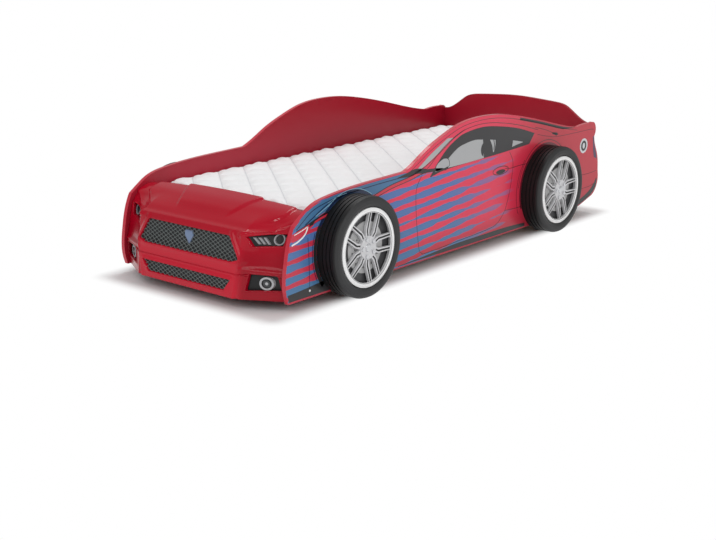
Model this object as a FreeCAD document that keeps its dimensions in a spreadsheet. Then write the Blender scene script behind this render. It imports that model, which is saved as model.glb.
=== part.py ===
import FreeCAD, Part
import math
import os

import Sketcher
from FreeCAD import Placement, Rotation, Vector

# A child's car bed: a board bed frame with two car-shaped side panels, a rear panel, a moulded
# front bumper, four moulded wheels on the panels, a slatted base and a quilted foam mattress.
# X is the width (+X is the car's left side), the car's nose points to -Y, Z is up, and the
# origin is on the floor under the middle of the overall length and width. Lengths are in mm.

os.makedirs("parts", exist_ok=True)
doc = FreeCAD.newDocument("car_bed")
sheet = doc.addObject("Spreadsheet::Sheet", "sizes")

PIECES = []
ORIGIN = Vector(0, 0, 0)
X_AXIS = Vector(1, 0, 0)
Y_AXIS = Vector(0, 1, 0)
Z_AXIS = Vector(0, 0, 1)


# ---------------------------------------------------------------- sizes that carry their formula
class Size:
    """A number together with the formula that ties it to the cells of the sheet."""

    def __init__(self, value, formula):
        self.value = value
        self.formula = formula

    def __float__(self):
        return float(self.value)

    def __add__(self, other):
        return Size(self.value + float(other), f"({self.formula} + {text(other)})")

    def __radd__(self, other):
        return Size(float(other) + self.value, f"({text(other)} + {self.formula})")

    def __sub__(self, other):
        return Size(self.value - float(other), f"({self.formula} - {text(other)})")

    def __rsub__(self, other):
        return Size(float(other) - self.value, f"({text(other)} - {self.formula})")

    def __mul__(self, other):
        return Size(self.value * float(other), f"({self.formula} * {text(other)})")

    def __rmul__(self, other):
        return Size(float(other) * self.value, f"({text(other)} * {self.formula})")

    def __truediv__(self, other):
        return Size(self.value / float(other), f"({self.formula} / {text(other)})")

    def __neg__(self):
        return Size(-self.value, f"(0 - {self.formula})")


def text(value):
    """The formula of a Size, or a plain number written out."""
    return value.formula if isinstance(value, Size) else f"{float(value):.6f}"


def size(alias, value):
    """Put one driving dimension in the next row of the sheet and hand back its Size."""
    size.row += 1
    cell = f"A{size.row}"
    sheet.set(cell, str(value))
    sheet.setAlias(cell, alias)
    return Size(float(value), f"sizes.{alias}")


size.row = 0

# Mattress and the space it lies in
mattress_width = size("mattress_width", 800)
mattress_length = size("mattress_length", 1800)
mattress_thickness = size("mattress_thickness", 100)
mattress_corner = size("mattress_corner_radius", 50)
mattress_wall = size("mattress_cover_wall", 7)
mattress_crown = size("mattress_crown", 8)
mattress_draw = size("mattress_side_draw", 4)
quilt_rise = size("quilt_rise", 9)
quilt_across = 5
quilt_along = 13
bed_clearance = size("bed_clearance", 5)
soft_gap = size("soft_gap", 0.3)

# Boards and timber
board = size("board_thickness", 16)
band = size("edge_band_thickness", 1.2)
glue_line = size("glue_line", 0.2)
skirt_height = size("skirt_height", 37)
slat_top = size("slat_top_height", 229.7)
slat_width = size("slat_width", 70)
slat_thick = size("slat_thickness", 18)
slat_end_gap = size("slat_end_gap", 4)
slat_count = 13
ledger_width = size("ledger_width", 30)
ledger_depth = size("ledger_depth", 40)
post_side = size("post_side", 45)
post_offset = size("post_offset", 38)
beam_width = size("beam_width", 60)
beam_depth = size("beam_depth", 30)
leg_side = size("leg_side", 40)
leg_spread = size("leg_spread", 900)
glide_radius = size("glide_radius", 15)
glide_height = size("glide_height", 5)
hanger_leg = size("hanger_leg", 40)
hanger_plate = size("hanger_plate", 3)

# Car shape
front_axle_offset = size("front_axle_offset", 135)
rear_axle_offset = size("rear_axle_offset", 400)
nose_reach = size("nose_reach", 265)
tail_reach = size("tail_reach", 42)
wing_height = size("wing_height", 395)
roof_height = size("roof_height", 542)
deck_height = size("deck_height", 410)
head_height = size("rear_panel_height", 498)
head_foot = size("rear_panel_foot", 96)
lip_height = size("lip_height", 40)
hood_height = size("hood_height", 347)
ledge_height = size("hood_ledge_height", 308)
hood_bulge = size("hood_bulge", 8)
bulge_half = size("hood_bulge_half_width", 186)
face_half = size("flat_face_half_width", 258)
shell_wall = size("shell_wall", 4)
shell_gap = size("shell_gap", 0.3)
flange_width = size("shell_flange_width", 25)

# Front fittings
inlay_gap = size("inlay_gap", 0.3)
inlay_margin = size("inlay_margin", 6)
tray_floor = size("tray_floor", 2)
mesh_recess = size("mesh_recess", 8)
mesh_thick = size("mesh_thickness", 3)
mesh_cell = size("mesh_cell_radius", 9)
mesh_bar = size("mesh_bar_width", 5)
headlamp_recess = size("headlamp_recess", 11)
headlamp_ring = size("headlamp_ring_radius", 19)
fog_recess = size("fog_recess", 16)
fog_lamp_radius = size("fog_lamp_radius", 23)
lamp_relief = size("lamp_relief", 5)

# Wheels
wheel_radius = size("wheel_radius", 182.5)
wheel_lift = size("wheel_lift", 1)
wheel_depth = size("wheel_depth", 85)
tread_wall = size("tread_wall", 8)
sidewall = size("sidewall", 4)
tyre_bore = size("tyre_bore_radius", 142.5)
groove_depth = size("groove_depth", 3.5)
groove_width = size("groove_width", 5)
shoulder = size("shoulder", 13)
rim_gap = size("rim_gap", 0.3)
rim_wall = size("rim_wall", 9)
ring_width = size("trim_ring_width", 17)
ring_thick = size("trim_ring_thickness", 5)
ring_overlap = size("trim_ring_overlap", 3)
ring_crown = size("trim_ring_crown", 3)
spoke_front = size("spoke_front", 80)
spoke_thick = size("spoke_thickness", 14)
spoke_width = size("spoke_width", 13)
spoke_pair = size("spoke_pair_half_gap", 18)
spoke_root = size("spoke_root_half_gap", 2)
spoke_root_width = size("spoke_root_width", 22)
spoke_knee = size("spoke_knee_radius", 62)
spoke_knee_gap = size("spoke_knee_half_gap", 13.5)
spoke_inside = size("spoke_inside", 34)
boss_flange = size("boss_flange", 4)
web = size("rim_web", 3)
hub_radius = size("hub_radius", 42)
hub_boss = size("hub_boss_radius", 38)
disc_radius = size("brake_disc_radius", 93)
disc_thick = size("brake_disc_thickness", 5)
disc_seat = spoke_front - spoke_thick - disc_thick - size("brake_disc_clearance", 1.5)
disc_hole = size("brake_disc_hole_radius", 4)
spoke_count = 5
lug_circle = size("lug_circle_radius", 32)
lug_turn = size("lug_turn", 36)
lug_head = size("lug_head_radius", 8)
lug_height = size("lug_head_height", 4.5)
lug_shank = size("lug_shank_radius", 3)
lug_bite = size("lug_bite", 13)
cap_radius = size("cap_radius", 16)
cap_height = size("cap_height", 5)
cap_plug = size("cap_plug_radius", 10)
cap_plug_depth = size("cap_plug_depth", 9)
wheel_screw_circle = size("wheel_screw_circle", 120)

# Fasteners
hole_gap = size("hole_gap", 0.15)
screw_radius = size("screw_radius", 2)
screw_head = size("screw_head_radius", 4)
screw_head_height = size("screw_head_height", 2.5)
panel_bite = size("panel_bite", 11)
slat_screw_length = size("slat_screw_length", 38)
cam_radius = size("cam_radius", 7.5)
cam_depth = size("cam_depth", 12.5)
cam_reach = size("cam_reach", 34)
cam_bolt_radius = size("cam_bolt_radius", 3.5)
cam_thread_radius = size("cam_thread_radius", 2.5)
cam_channel = size("cam_channel_radius", 4)
dowel_radius = size("dowel_radius", 4)
dowel_length = size("dowel_length", 28)

# Places worked out from the sizes
inner_half = mattress_width / 2 + bed_clearance
outer_half = inner_half + board
bed_length = mattress_length + 2 * bed_clearance
half_length = (nose_reach + bed_length + board + tail_reach) / 2
nose = -half_length
bed_front = nose + nose_reach
bed_rear = bed_front + bed_length
front_axle = bed_front + front_axle_offset
rear_axle = bed_rear - rear_axle_offset
hub_height = wheel_radius + wheel_lift
slat_bottom = slat_top - slat_thick
ledger_bottom = slat_bottom - ledger_depth
mattress_bottom = slat_top + soft_gap
SIDES = {"left": 1, "right": -1}
AXLES = {"front": front_axle, "rear": rear_axle}


# ---------------------------------------------------------------- helpers for document objects
def bind(thing, prop, value):
    """Tie a property to the sheet, or set it when it is a plain number."""
    if isinstance(value, Size):
        thing.setExpression(prop, value.formula)
    else:
        thing.setExpression(prop, f"{float(value):.6f}")


def place(thing, x=0, y=0, z=0):
    """Tie an object's position to the sheet."""
    for prop, value in (("x", x), ("y", y), ("z", z)):
        bind(thing, f".Placement.Base.{prop}", value)


def keep(thing, label):
    """Name an object as one of the bed's pieces."""
    thing.Label = label
    PIECES.append(thing)
    return thing


def feature(label, shape):
    """A piece whose shape is worked out with Part's own functions."""
    thing = doc.addObject("Part::Feature", "computed")
    thing.Shape = shape
    return keep(thing, label)


def box(corner, extent):
    """A Part box from its lowest corner and its extents along X, Y and Z."""
    thing = doc.addObject("Part::Box", "block")
    for prop, value in zip(("Length", "Width", "Height"), extent):
        bind(thing, prop, value)
    place(thing, *corner)
    return thing


def rod(start, axis, radius, length):
    """A Part cylinder that starts at a point and runs along one of the main axes."""
    thing = doc.addObject("Part::Cylinder", "rod")
    bind(thing, "Radius", radius)
    bind(thing, "Height", length)
    thing.Placement = Placement(ORIGIN, Rotation(Z_AXIS, axis))
    place(thing, *start)
    return thing


def cut(base, tools):
    """Cut a list of tools from a base object."""
    group = doc.addObject("Part::Compound", "tools")
    group.Links = tools
    thing = doc.addObject("Part::Cut", "cut")
    thing.Base = base
    thing.Tool = group
    return thing


def new_body(label):
    """A PartDesign body that is one of the pieces."""
    return keep(doc.addObject("PartDesign::Body", "body"), label)


def sketch(body, role, offset=0):
    """A sketch on one of the body's own origin planes, moved along the plane's normal."""
    drawing = body.newObject("Sketcher::SketchObject", "sketch")
    plane = [item for item in body.Origin.OriginFeatures if item.Role == role][0]
    drawing.AttachmentSupport = [(plane, "")]
    drawing.MapMode = "FlatFace"
    bind(drawing, ".AttachmentOffset.Base.z", offset)
    return drawing


def circle(drawing, u, v, radius):
    """A circle in a sketch, its centre and radius tied to the sheet."""
    centre = Vector(float(u), float(v), 0)
    index = drawing.addGeometry(Part.Circle(centre, Z_AXIS, float(radius)))
    rules = (
        (Sketcher.Constraint("Radius", index, float(radius)), radius),
        (Sketcher.Constraint("DistanceX", -1, 1, index, 3, float(u)), u),
        (Sketcher.Constraint("DistanceY", -1, 1, index, 3, float(v)), v),
    )
    for rule, value in rules:
        number = drawing.addConstraint(rule)
        bind(drawing, f"Constraints[{number}]", value)


def polygon(drawing, points):
    """A closed outline of straight lines in a sketch."""
    corners = [Vector(float(u), float(v), 0) for u, v in points]
    lines = [Part.LineSegment(a, b) for a, b in zip(corners, corners[1:] + corners[:1])]
    drawing.addGeometry(lines)


def pad(body, drawing, length, reverse=False):
    """Raise a sketch to a solid."""
    step = body.newObject("PartDesign::Pad", "pad")
    step.Profile = drawing
    bind(step, "Length", length)
    step.Reversed = reverse
    doc.recompute()
    return step


def pocket(body, drawing, depth, reverse=False):
    """Sink a sketch into the body, and make sure that it did remove something."""
    before = body.Shape.Volume
    step = body.newObject("PartDesign::Pocket", "pocket")
    step.Profile = drawing
    bind(step, "Length", depth)
    step.Reversed = reverse
    doc.recompute()
    if body.Shape.Volume > before - 1:
        raise RuntimeError(f"a pocket in {body.Label} cut nothing")
    return step


def turn(body, drawing):
    """Revolve a sketch drawn on the XY plane about the body's X axis."""
    step = body.newObject("PartDesign::Revolution", "turned")
    step.Profile = drawing
    step.ReferenceAxis = (drawing, ["H_Axis"])
    step.Angle = 360
    doc.recompute()
    return step


def polar(body, steps, count):
    """Repeat features round the body's X axis."""
    pattern = body.newObject("PartDesign::PolarPattern", "repeat")
    pattern.Originals = steps
    axis = [item for item in body.Origin.OriginFeatures if item.Role == "X_Axis"][0]
    pattern.Axis = (axis, [""])
    pattern.Angle = 360
    pattern.Occurrences = count
    body.Tip = pattern
    doc.recompute()
    return pattern


def moved(shape, x=0, y=0, z=0):
    """A copy of a shape, shifted."""
    copy = shape.copy()
    copy.translate(Vector(float(x), float(y), float(z)))
    return copy


def turned_shape(profile, axis):
    """A solid of revolution from (distance along the axis, radius) points, from the origin."""
    corners = [Vector(float(along), float(radius), 0) for along, radius in profile]
    face = Part.Face(Part.makePolygon(corners + corners[:1]))
    solid = face.revolve(ORIGIN, X_AXIS, 360)
    solid.Placement = Placement(ORIGIN, Rotation(X_AXIS, axis))
    return solid


def screw(length, axis):
    """A countersunk screw: its head's top is at the origin and it points along an axis."""
    profile = (
        (0, 0), (0, screw_head), (screw_head_height, screw_radius),
        (length - screw_radius, screw_radius), (length, 0),
    )
    return turned_shape(profile, axis)


def screw_hole(length, axis):
    """The drilled and countersunk hole that a screw of this length fits with its clearance."""
    profile = (
        (-1, 0), (-1, screw_head + hole_gap), (0, screw_head + hole_gap),
        (screw_head_height, screw_radius + hole_gap),
        (length + hole_gap, screw_radius + hole_gap), (length + hole_gap, 0),
    )
    return turned_shape(profile, axis)


# ---------------------------------------------------------------- outline of the side panels
def side_outline():
    """The car's side view as (Y, Z) runs: wing, roof, spoiler, tail and skirt.

    Points of the wing and roof lean on the front axle, those of the tail on the bed's rear end,
    and each height leans on the nearest named height.
    """
    nose_edge = (
        (front_axle - 326, skirt_height), (front_axle - 339, skirt_height + 74),
        (front_axle - 331, skirt_height + 139), (front_axle - 317, skirt_height + 203),
        (front_axle - 292, wing_height - 95),
    )
    wing = (
        nose_edge[-1], (front_axle - 254, wing_height - 69), (front_axle - 206, wing_height - 41),
        (front_axle - 122, wing_height - 21), (front_axle - 21, wing_height - 11),
        (front_axle + 136, wing_height - 4), (front_axle + 306, wing_height),
    )
    roof = (
        wing[-1], (front_axle + 346, roof_height - 131), (front_axle + 444, roof_height - 82),
        (front_axle + 531, roof_height - 48), (front_axle + 652, roof_height - 12),
        (front_axle + 779, roof_height), (front_axle + 919, roof_height - 6),
        (front_axle + 1070, roof_height - 30), (bed_rear - 447, deck_height + 67),
        (bed_rear - 280, deck_height + 26), (bed_rear - 142, deck_height),
    )
    spoiler = (
        roof[-1], (bed_rear - 81, deck_height + 5.5), (bed_rear - 22, deck_height + 4.5),
    )
    lip = (
        spoiler[-1], (bed_rear + 4, deck_height), (bed_rear + board, deck_height - 20),
        (bed_rear + board - 2, deck_height - 44), (bed_rear + 6, deck_height - 57),
    )
    tail_x = bed_rear + board + tail_reach - band - glue_line
    tail = (
        lip[-1], (tail_x - 39, deck_height - 100), (tail_x - 18, deck_height - 141),
        (tail_x - 8, deck_height - 180), (tail_x - 5, skirt_height + 157),
        (tail_x, skirt_height + 120), (tail_x - 15, skirt_height + 76),
        (tail_x - 62, skirt_height + 43),
    )
    skirt = (
        tail[-1], (tail_x - 158, skirt_height + 16), (tail_x - 290, skirt_height), nose_edge[0],
    )
    return (nose_edge, wing, roof, spoiler, lip, tail), skirt


def side_wire():
    """The outline as one closed wire in the YZ plane, drawn as (u, v) = (Y, Z)."""
    curves, skirt = side_outline()
    edges = []
    for run in curves:
        spline = Part.BSplineCurve()
        spline.interpolate([Vector(float(u), float(v), 0) for u, v in run])
        edges.append(spline)
    corners = [Vector(float(u), float(v), 0) for u, v in skirt]
    edges += [Part.LineSegment(a, b) for a, b in zip(corners, corners[1:])]
    return edges


def rear_wire():
    """The rear panel's outline as (X, Z): straight foot, crowned top with dropped shoulders."""
    half = inner_half - shell_gap
    foot = head_foot
    top = (
        (half, head_height - 94), (half - 35, head_height - 87), (half - 97, head_height - 49),
        (half - 145, head_height - 20), (half - 190, head_height - 12),
        (half - 270, head_height - 6), (0, head_height),
    )
    run = [Vector(float(u), float(v), 0) for u, v in top]
    run += [Vector(-point.x, point.y, 0) for point in reversed(run[:-1])]
    spline = Part.BSplineCurve()
    spline.interpolate(run)
    corners = [run[-1], Vector(-float(half), float(foot), 0), Vector(float(half), float(foot), 0)]
    corners.append(run[0])
    return [spline] + [Part.LineSegment(a, b) for a, b in zip(corners, corners[1:])]


def offset_outline(curves, amount):
    """An outline moved outwards by an amount, as a fine polygon with mitred corners."""
    points = []
    for curve in curves:
        points += curve.toShape().discretize(Deflection=0.05)[:-1]
    following = points[1:] + points[:1]
    area = sum(a.x * b.y - b.x * a.y for a, b in zip(points, following))
    hand = 1 if area > 0 else -1
    normals = []
    for a, b in zip(points, following):
        run = (b - a).normalize()
        normals.append(Vector(hand * run.y, -hand * run.x, 0))
    moved_out = []
    for number, point in enumerate(points):
        mitre = (normals[number - 1] + normals[number]) / (1 + normals[number - 1].dot(normals[number]))
        moved_out.append(point + mitre * float(amount))
    return Part.Face(Part.makePolygon(moved_out + moved_out[:1]))


def band_shape(curves, width):
    """A strip glued all round a board's edge: the ring between two offsets of its outline."""
    along = Vector(0, 0, float(width))
    inside = offset_outline(curves, glue_line).extrude(along)
    outside = offset_outline(curves, glue_line + band).extrude(along)
    return outside.cut(inside)


# ---------------------------------------------------------------- where the fasteners go
END_BOARDS = {
    "rear_panel": (bed_rear, slat_top + 90),
    "foot_board": (bed_front - board, slat_top + 30),
}
cam_low = size("cam_low", 100)
dowel_low = size("dowel_low", 140)
dowel_high = size("dowel_high", 200)
ledger_screw_ys = [bed_front + 150 + step * (bed_length - 300) / 5 for step in range(6)]
post_ys = {"front": front_axle + post_offset, "rear": rear_axle + post_offset}
post_screw_heights = (60, 130)


def cam_places():
    """Height and board middle, for each cam bolt of the two end boards."""
    spots = []
    for start, high in END_BOARDS.values():
        spots += [(start + board / 2, skirt_height + cam_low), (start + board / 2, high)]
    return spots


def dowel_places():
    """Board middle and height of each dowel of the two end boards."""
    spots = []
    for start, _ in END_BOARDS.values():
        spots += [(start + board / 2, skirt_height + step) for step in (dowel_low, dowel_high)]
    return spots


def wheel_screw_places():
    """(Y, Z) of the three screws that hold each wheel's backing disc to the panel."""
    spots = []
    for axle in AXLES.values():
        for angle in (30, 150, 270):
            along = math.cos(math.radians(angle))
            up = math.sin(math.radians(angle))
            spots.append((axle + along * wheel_screw_circle, hub_height + up * wheel_screw_circle))
    return spots


def frame_screw_places():
    """(Y, Z) of the ledger's and posts' screws in the side panels."""
    spots = [(y, ledger_bottom + ledger_depth / 2) for y in ledger_screw_ys]
    for start_y in post_ys.values():
        spots += [(start_y + post_side / 2, height) for height in post_screw_heights]
    return spots


ledge_screw_xs = (-250, 0, 250)


# ---------------------------------------------------------------- moulded bumper: its skin
def shell_rows():
    """Rows of the bumper's outer face, from the turned-in lip to the rear of the hood's ledge.

    Each row is (centre Y, centre Z, side Y, side Z, how it sweeps back towards the side).
    """
    low, top = lip_height, hood_height
    return (
        (nose + 24, low, nose + 104, low, "face"),
        (nose + 2, low, nose + 84, low, "face"),
        (nose, low + 10, nose + 81, low + 10, "face"),
        (nose + 1, low + 24, nose + 80, low + 24, "face"),
        (nose + 6, low + 85, nose + 77, low + 85, "face"),
        (nose + 9, low + 95, nose + 76, low + 95, "face"),
        (nose + 23, top - 85, nose + 106, top - 85, "lamp"),
        (nose + 32, top - 75, nose + 111, top - 75, "lamp"),
        (nose + 50, top - 68, nose + 117, top - 67, "lamp"),
        (nose + 75, top - 52, nose + 127, top - 52, "lamp"),
        (nose + 115, top - 30, nose + 142, top - 31, "hood"),
        (nose + 150, top - 14, nose + 167, top - 17, "hood"),
        (nose + 192, top - 2, nose + 187, top - 11, "hood"),
        (nose + 204, top, nose + 201, top - 10, "hood"),
        (nose + 205, ledge_height, nose + 202, ledge_height, "hood"),
        (bed_front, ledge_height, bed_front, ledge_height, "hood"),
    )


BULGED_ROWS = (10, 11, 12, 13)
shell_half = inner_half - shell_gap


def sweep(kind, x):
    """How far a row has swept from its centre place (0) to its side place (1) at x."""
    reach = abs(x)
    flat = float(face_half)
    end = float(shell_half)
    if reach <= flat and kind != "hood":
        return 0.0
    share = (reach - flat) / (end - flat)
    if kind == "lamp":
        return math.sin(share * math.pi / 2) ** 0.9
    if kind == "face":
        return share
    return (reach / end) ** 2


def skin_chain(x, depth, first=0, last=None):
    """The (Y, Z) points of the bumper's section at x, sunk by a depth from the outer face."""
    points = []
    for number, (y0, z0, y1, z1, kind) in enumerate(shell_rows()):
        share = sweep(kind, x)
        y = float(y0) * (1 - share) + float(y1) * share
        z = float(z0) * (1 - share) + float(z1) * share
        if number in BULGED_ROWS and abs(x) <= float(bulge_half):
            z += float(hood_bulge) * (number - BULGED_ROWS[0] + 1) / len(BULGED_ROWS)
        points.append(Vector(0, y, z))
    points = points[first:last]
    normals = []
    for a, b in zip(points, points[1:]):
        run = (b - a).normalize()
        normals.append(Vector(0, run.z, -run.y))
    sunk = []
    for number, point in enumerate(points):
        before = normals[max(number - 1, 0)]
        after = normals[min(number, len(normals) - 1)]
        mitre = (before + after) / (1 + before.dot(after))
        sunk.append(point + mitre * float(depth))
    return [Vector(x, point.y, point.z) for point in sunk]


def skin(stations, outer, inner, first=0, last=None):
    """The layer of the bumper between two depths, as one ruled solid along X."""
    wires = []
    for x in stations:
        chain = skin_chain(x, outer, first, last)
        chain += reversed(skin_chain(x, inner, first, last))
        wires.append(Part.makePolygon(chain + chain[:1]))
    return Part.makeLoft(wires, True, True)


def stations_between(low, high):
    """The X places of the bumper's sections that enclose two limits.

    Every layer of the bumper takes its sections at the same places, so that layers never cross.
    """
    step_edge = float(bulge_half)
    end = float(shell_half)
    marks = [0, 100, step_edge, step_edge + 3, float(face_half), 285, 310, 335, 360, 385, end]
    marks = sorted({side * mark for mark in marks for side in (1, -1) if mark <= end})
    before = [mark for mark in marks if mark <= low]
    after = [mark for mark in marks if mark >= high]
    first = before[-1] if before else marks[0]
    last = after[0] if after else marks[-1]
    return [mark for mark in marks if first <= mark <= last]


def prism(outline):
    """A straight bar through the bumper, along Y, from an outline of (X, Z) points."""
    start = float(nose) - 60
    corners = [Vector(float(x), start, float(z)) for x, z in outline]
    face = Part.Face(Part.makePolygon(corners + corners[:1]))
    return face.extrude(Vector(0, 260, 0))


def disc_prism(x, z, radius):
    """A round bar through the bumper, along Y."""
    return Part.makeCylinder(float(radius), 260, Vector(float(x), float(nose) - 60, float(z)), Y_AXIS)


def grown(outline, amount):
    """An outline of (X, Z) points made larger all round, but kept clear of the side flanges."""
    corners = [Vector(float(x), float(z), 0) for x, z in outline]
    wire = Part.makePolygon(corners + corners[:1])
    bigger = wire.makeOffset2D(float(amount), 2)
    limit = float(shell_half - shell_wall - inlay_gap)
    return [(max(-limit, min(limit, vertex.X)), vertex.Y) for vertex in bigger.OrderedVertexes]


def mirrored(outline, side):
    """An outline on the left, or its mirror image on the right."""
    return [(side * float(x), float(z)) for x, z in outline]


def flange_screw_places():
    """(Y, Z) of the screws through the bumper's side flange, in the middle of its width."""
    chain = skin_chain(float(shell_half), float(flange_width) / 2)
    spots = []
    for first in (3, 5, 9, 12):
        point = (chain[first] + chain[first + 1]) / 2
        spots.append((point.y, point.z))
    return spots


# Openings and recesses of the bumper, as (X, Z) outlines of the left half or the whole
grille_low = lip_height + 125
grille_top = hood_height - 93
upper_grille = (
    (206, grille_top), (254, grille_low + 12), (220, grille_low),
    (-220, grille_low), (-254, grille_low + 12), (-206, grille_top),
)
lower_grille = (
    (227, lip_height + 66), (193, lip_height + 23),
    (-193, lip_height + 23), (-227, lip_height + 66),
)
headlamp = (
    (266, hood_height - 90), (330, hood_height - 82), (394, hood_height - 76),
    (384, hood_height - 119), (288, hood_height - 126),
)
fog_pod = (
    (289, lip_height + 93), (384, lip_height + 92), (395, lip_height + 38),
    (277, lip_height + 32),
)
headlamp_centre = (361, hood_height - 99)
fog_centre = (341, lip_height + 60)
bar_tops = (282, 296, 310)
badge = (
    (-17, grille_low + 60), (17, grille_low + 60), (21, grille_low + 42), (0, grille_low + 12),
    (-21, grille_low + 42),
)
FACE_FIRST = 2
FACE_LAST = 12
FLANGE_FIRST = 3
FLANGE_LAST = 14


def face_skin(low, high, outer, inner):
    """The part of the bumper's skin that stands up, without the lip's return and the ledge."""
    return skin(stations_between(low, high), outer, inner, FACE_FIRST, FACE_LAST)


def span(outline, margin=10):
    """Lowest and highest X of an outline, with room for its tool."""
    xs = [float(x) for x, _ in outline]
    limit = float(shell_half)
    return max(min(xs) - margin, -limit), min(max(xs) + margin, limit)


def tray(outline, recess):
    """A tray behind an opening: a floor at the recess's depth and a wall all round it."""
    low, high = span(outline, 25)
    block = face_skin(low, high, shell_wall + inlay_gap, recess + tray_floor)
    block = block.common(prism(grown(outline, inlay_margin)))
    hollow = face_skin(low, high, 0, recess).common(prism(outline))
    return block.cut(hollow)


def inlay(tool, low, high, front, back):
    """A piece that follows the bumper's face between two depths, cut out by a bar."""
    return face_skin(low, high, front, back).common(tool)


# ================================================================ the pieces
# ---------------------------------------------------------------- side panels and edge bands
def side_panel(name, side):
    """A car-shaped board with the blind and through holes of everything that is fixed to it.

    The left panel's inner face is its sketch plane, and the right one's is a board further.
    """
    body = new_body(f"side_panel_{name}")
    outline = sketch(body, "YZ_Plane")
    outline.addGeometry(side_wire())
    pad(body, outline, board)
    inner = 0 if side > 0 else board
    sets = (
        (cam_places(), cam_thread_radius + hole_gap, panel_bite + hole_gap),
        (dowel_places(), dowel_radius + hole_gap, dowel_length / 2 - 2 + hole_gap),
        (wheel_screw_places(), screw_radius + hole_gap, board),
        (frame_screw_places() + flange_screw_places(), screw_radius + hole_gap, panel_bite + hole_gap),
        (wheel_screw_places(), screw_head + hole_gap, screw_head_height),
    )
    for spots, radius, depth in sets:
        holes = sketch(body, "YZ_Plane", inner)
        for u, v in spots:
            circle(holes, u, v, radius)
        pocket(body, holes, depth, reverse=side > 0)
    place(body, inner_half if side > 0 else -outer_half)
    return body


# The drawing's u, v and normal become Y, Z and X
TO_SIDE = Rotation(Y_AXIS, Z_AXIS, X_AXIS, "XYZ")

for side_name, side in SIDES.items():
    side_panel(side_name, side)
    strip = feature(f"edge_band_{side_name}", band_shape(side_wire(), board))
    strip.Placement = Placement(Vector(float(inner_half if side > 0 else -outer_half), 0, 0), TO_SIDE)


# ---------------------------------------------------------------- rear panel and foot board
def end_board(name, curves):
    """A board between the side panels, with its cam locks' bores and its dowels' holes."""
    start, high = END_BOARDS[name]
    body = new_body(name)
    outline = sketch(body, "XZ_Plane")
    outline.addGeometry(curves)
    pad(body, outline, board)
    half = inner_half - shell_gap
    cam_heights = (skirt_height + cam_low, high)
    bores = sketch(body, "XZ_Plane", board if name == "foot_board" else 0)
    for side in SIDES.values():
        for height in cam_heights:
            circle(bores, side * (inner_half - cam_reach), height, cam_radius + hole_gap)
    pocket(body, bores, cam_depth + hole_gap, reverse=name == "rear_panel")
    for side in SIDES.values():
        channel = sketch(body, "YZ_Plane", side * half)
        for height in cam_heights:
            circle(channel, -board / 2, height, cam_channel)
        pocket(body, channel, cam_reach, reverse=side < 0)
        pegs = sketch(body, "YZ_Plane", side * half)
        for step in (dowel_low, dowel_high):
            circle(pegs, -board / 2, skirt_height + step, dowel_radius + hole_gap)
        pocket(body, pegs, dowel_length / 2 + 2 + hole_gap, reverse=side < 0)
    if name == "foot_board":
        pilots = sketch(body, "XY_Plane", ledge_height - shell_wall)
        for x in ledge_screw_xs:
            circle(pilots, x, -board / 2, screw_radius + hole_gap)
        pocket(body, pilots, panel_bite + hole_gap)
    place(body, 0, start + board)
    return body


def foot_wire():
    """The foot board's outline as (X, Z): a plain rectangle under the hood's ledge."""
    half = float(inner_half - shell_gap)
    low = float(skirt_height + 15)
    high = float(ledge_height - shell_wall)
    corners = [Vector(u, v, 0) for u, v in ((-half, low), (half, low), (half, high), (-half, high))]
    return [Part.LineSegment(a, b) for a, b in zip(corners, corners[1:] + corners[:1])]


end_board("rear_panel", rear_wire())
end_board("foot_board", foot_wire())


# ---------------------------------------------------------------- timber of the slatted base
def ledger(name, side):
    """The batten along a side panel that the slats lie on, drilled for both rows of screws."""
    low_x = inner_half - ledger_width if side > 0 else -inner_half
    base = box((low_x, bed_front, ledger_bottom), (ledger_width, bed_length, ledger_depth))
    tools = []
    inward = side * (inner_half - ledger_width)
    for y in ledger_screw_ys:
        start = (inward - side, y, ledger_bottom + ledger_depth / 2)
        tools.append(rod(start, X_AXIS * side, screw_radius + hole_gap, ledger_width + 2))
        tools.append(rod(start, X_AXIS * side, screw_head + hole_gap, screw_head_height + 1))
    for y in slat_middles:
        start = (side * slat_screw_x, y, slat_bottom - slat_screw_length + slat_thick - hole_gap)
        tools.append(rod(start, Z_AXIS, screw_radius + hole_gap, slat_screw_length))
    return keep(cut(base, tools), f"ledger_{name}")


slat_pitch = (bed_length - 2 * bed_clearance - slat_width) / (slat_count - 1)
slat_middles = [bed_front + bed_clearance + slat_width / 2 + slat_pitch * i for i in range(slat_count)]
slat_screw_x = inner_half - ledger_width / 2
slat_half = inner_half - slat_end_gap

for side_name, side in SIDES.items():
    ledger(side_name, side)


def slats():
    """The slats across the bed, each with a countersunk hole at both ends."""
    blank = Part.makeBox(2 * float(slat_half), float(slat_width), float(slat_thick))
    blank = moved(blank, -slat_half, -slat_width / 2, slat_bottom)
    for side in SIDES.values():
        hole = moved(screw_hole(float(slat_screw_length), -Z_AXIS), side * slat_screw_x, 0, slat_top)
        blank = blank.cut(hole)
    return Part.Compound([moved(blank, y=middle) for middle in slat_middles])


feature("slats", slats())
feature("slat_screws", Part.Compound([
    moved(screw(float(slat_screw_length), -Z_AXIS), side * slat_screw_x, middle, slat_top)
    for side in SIDES.values() for middle in slat_middles
]))

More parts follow.
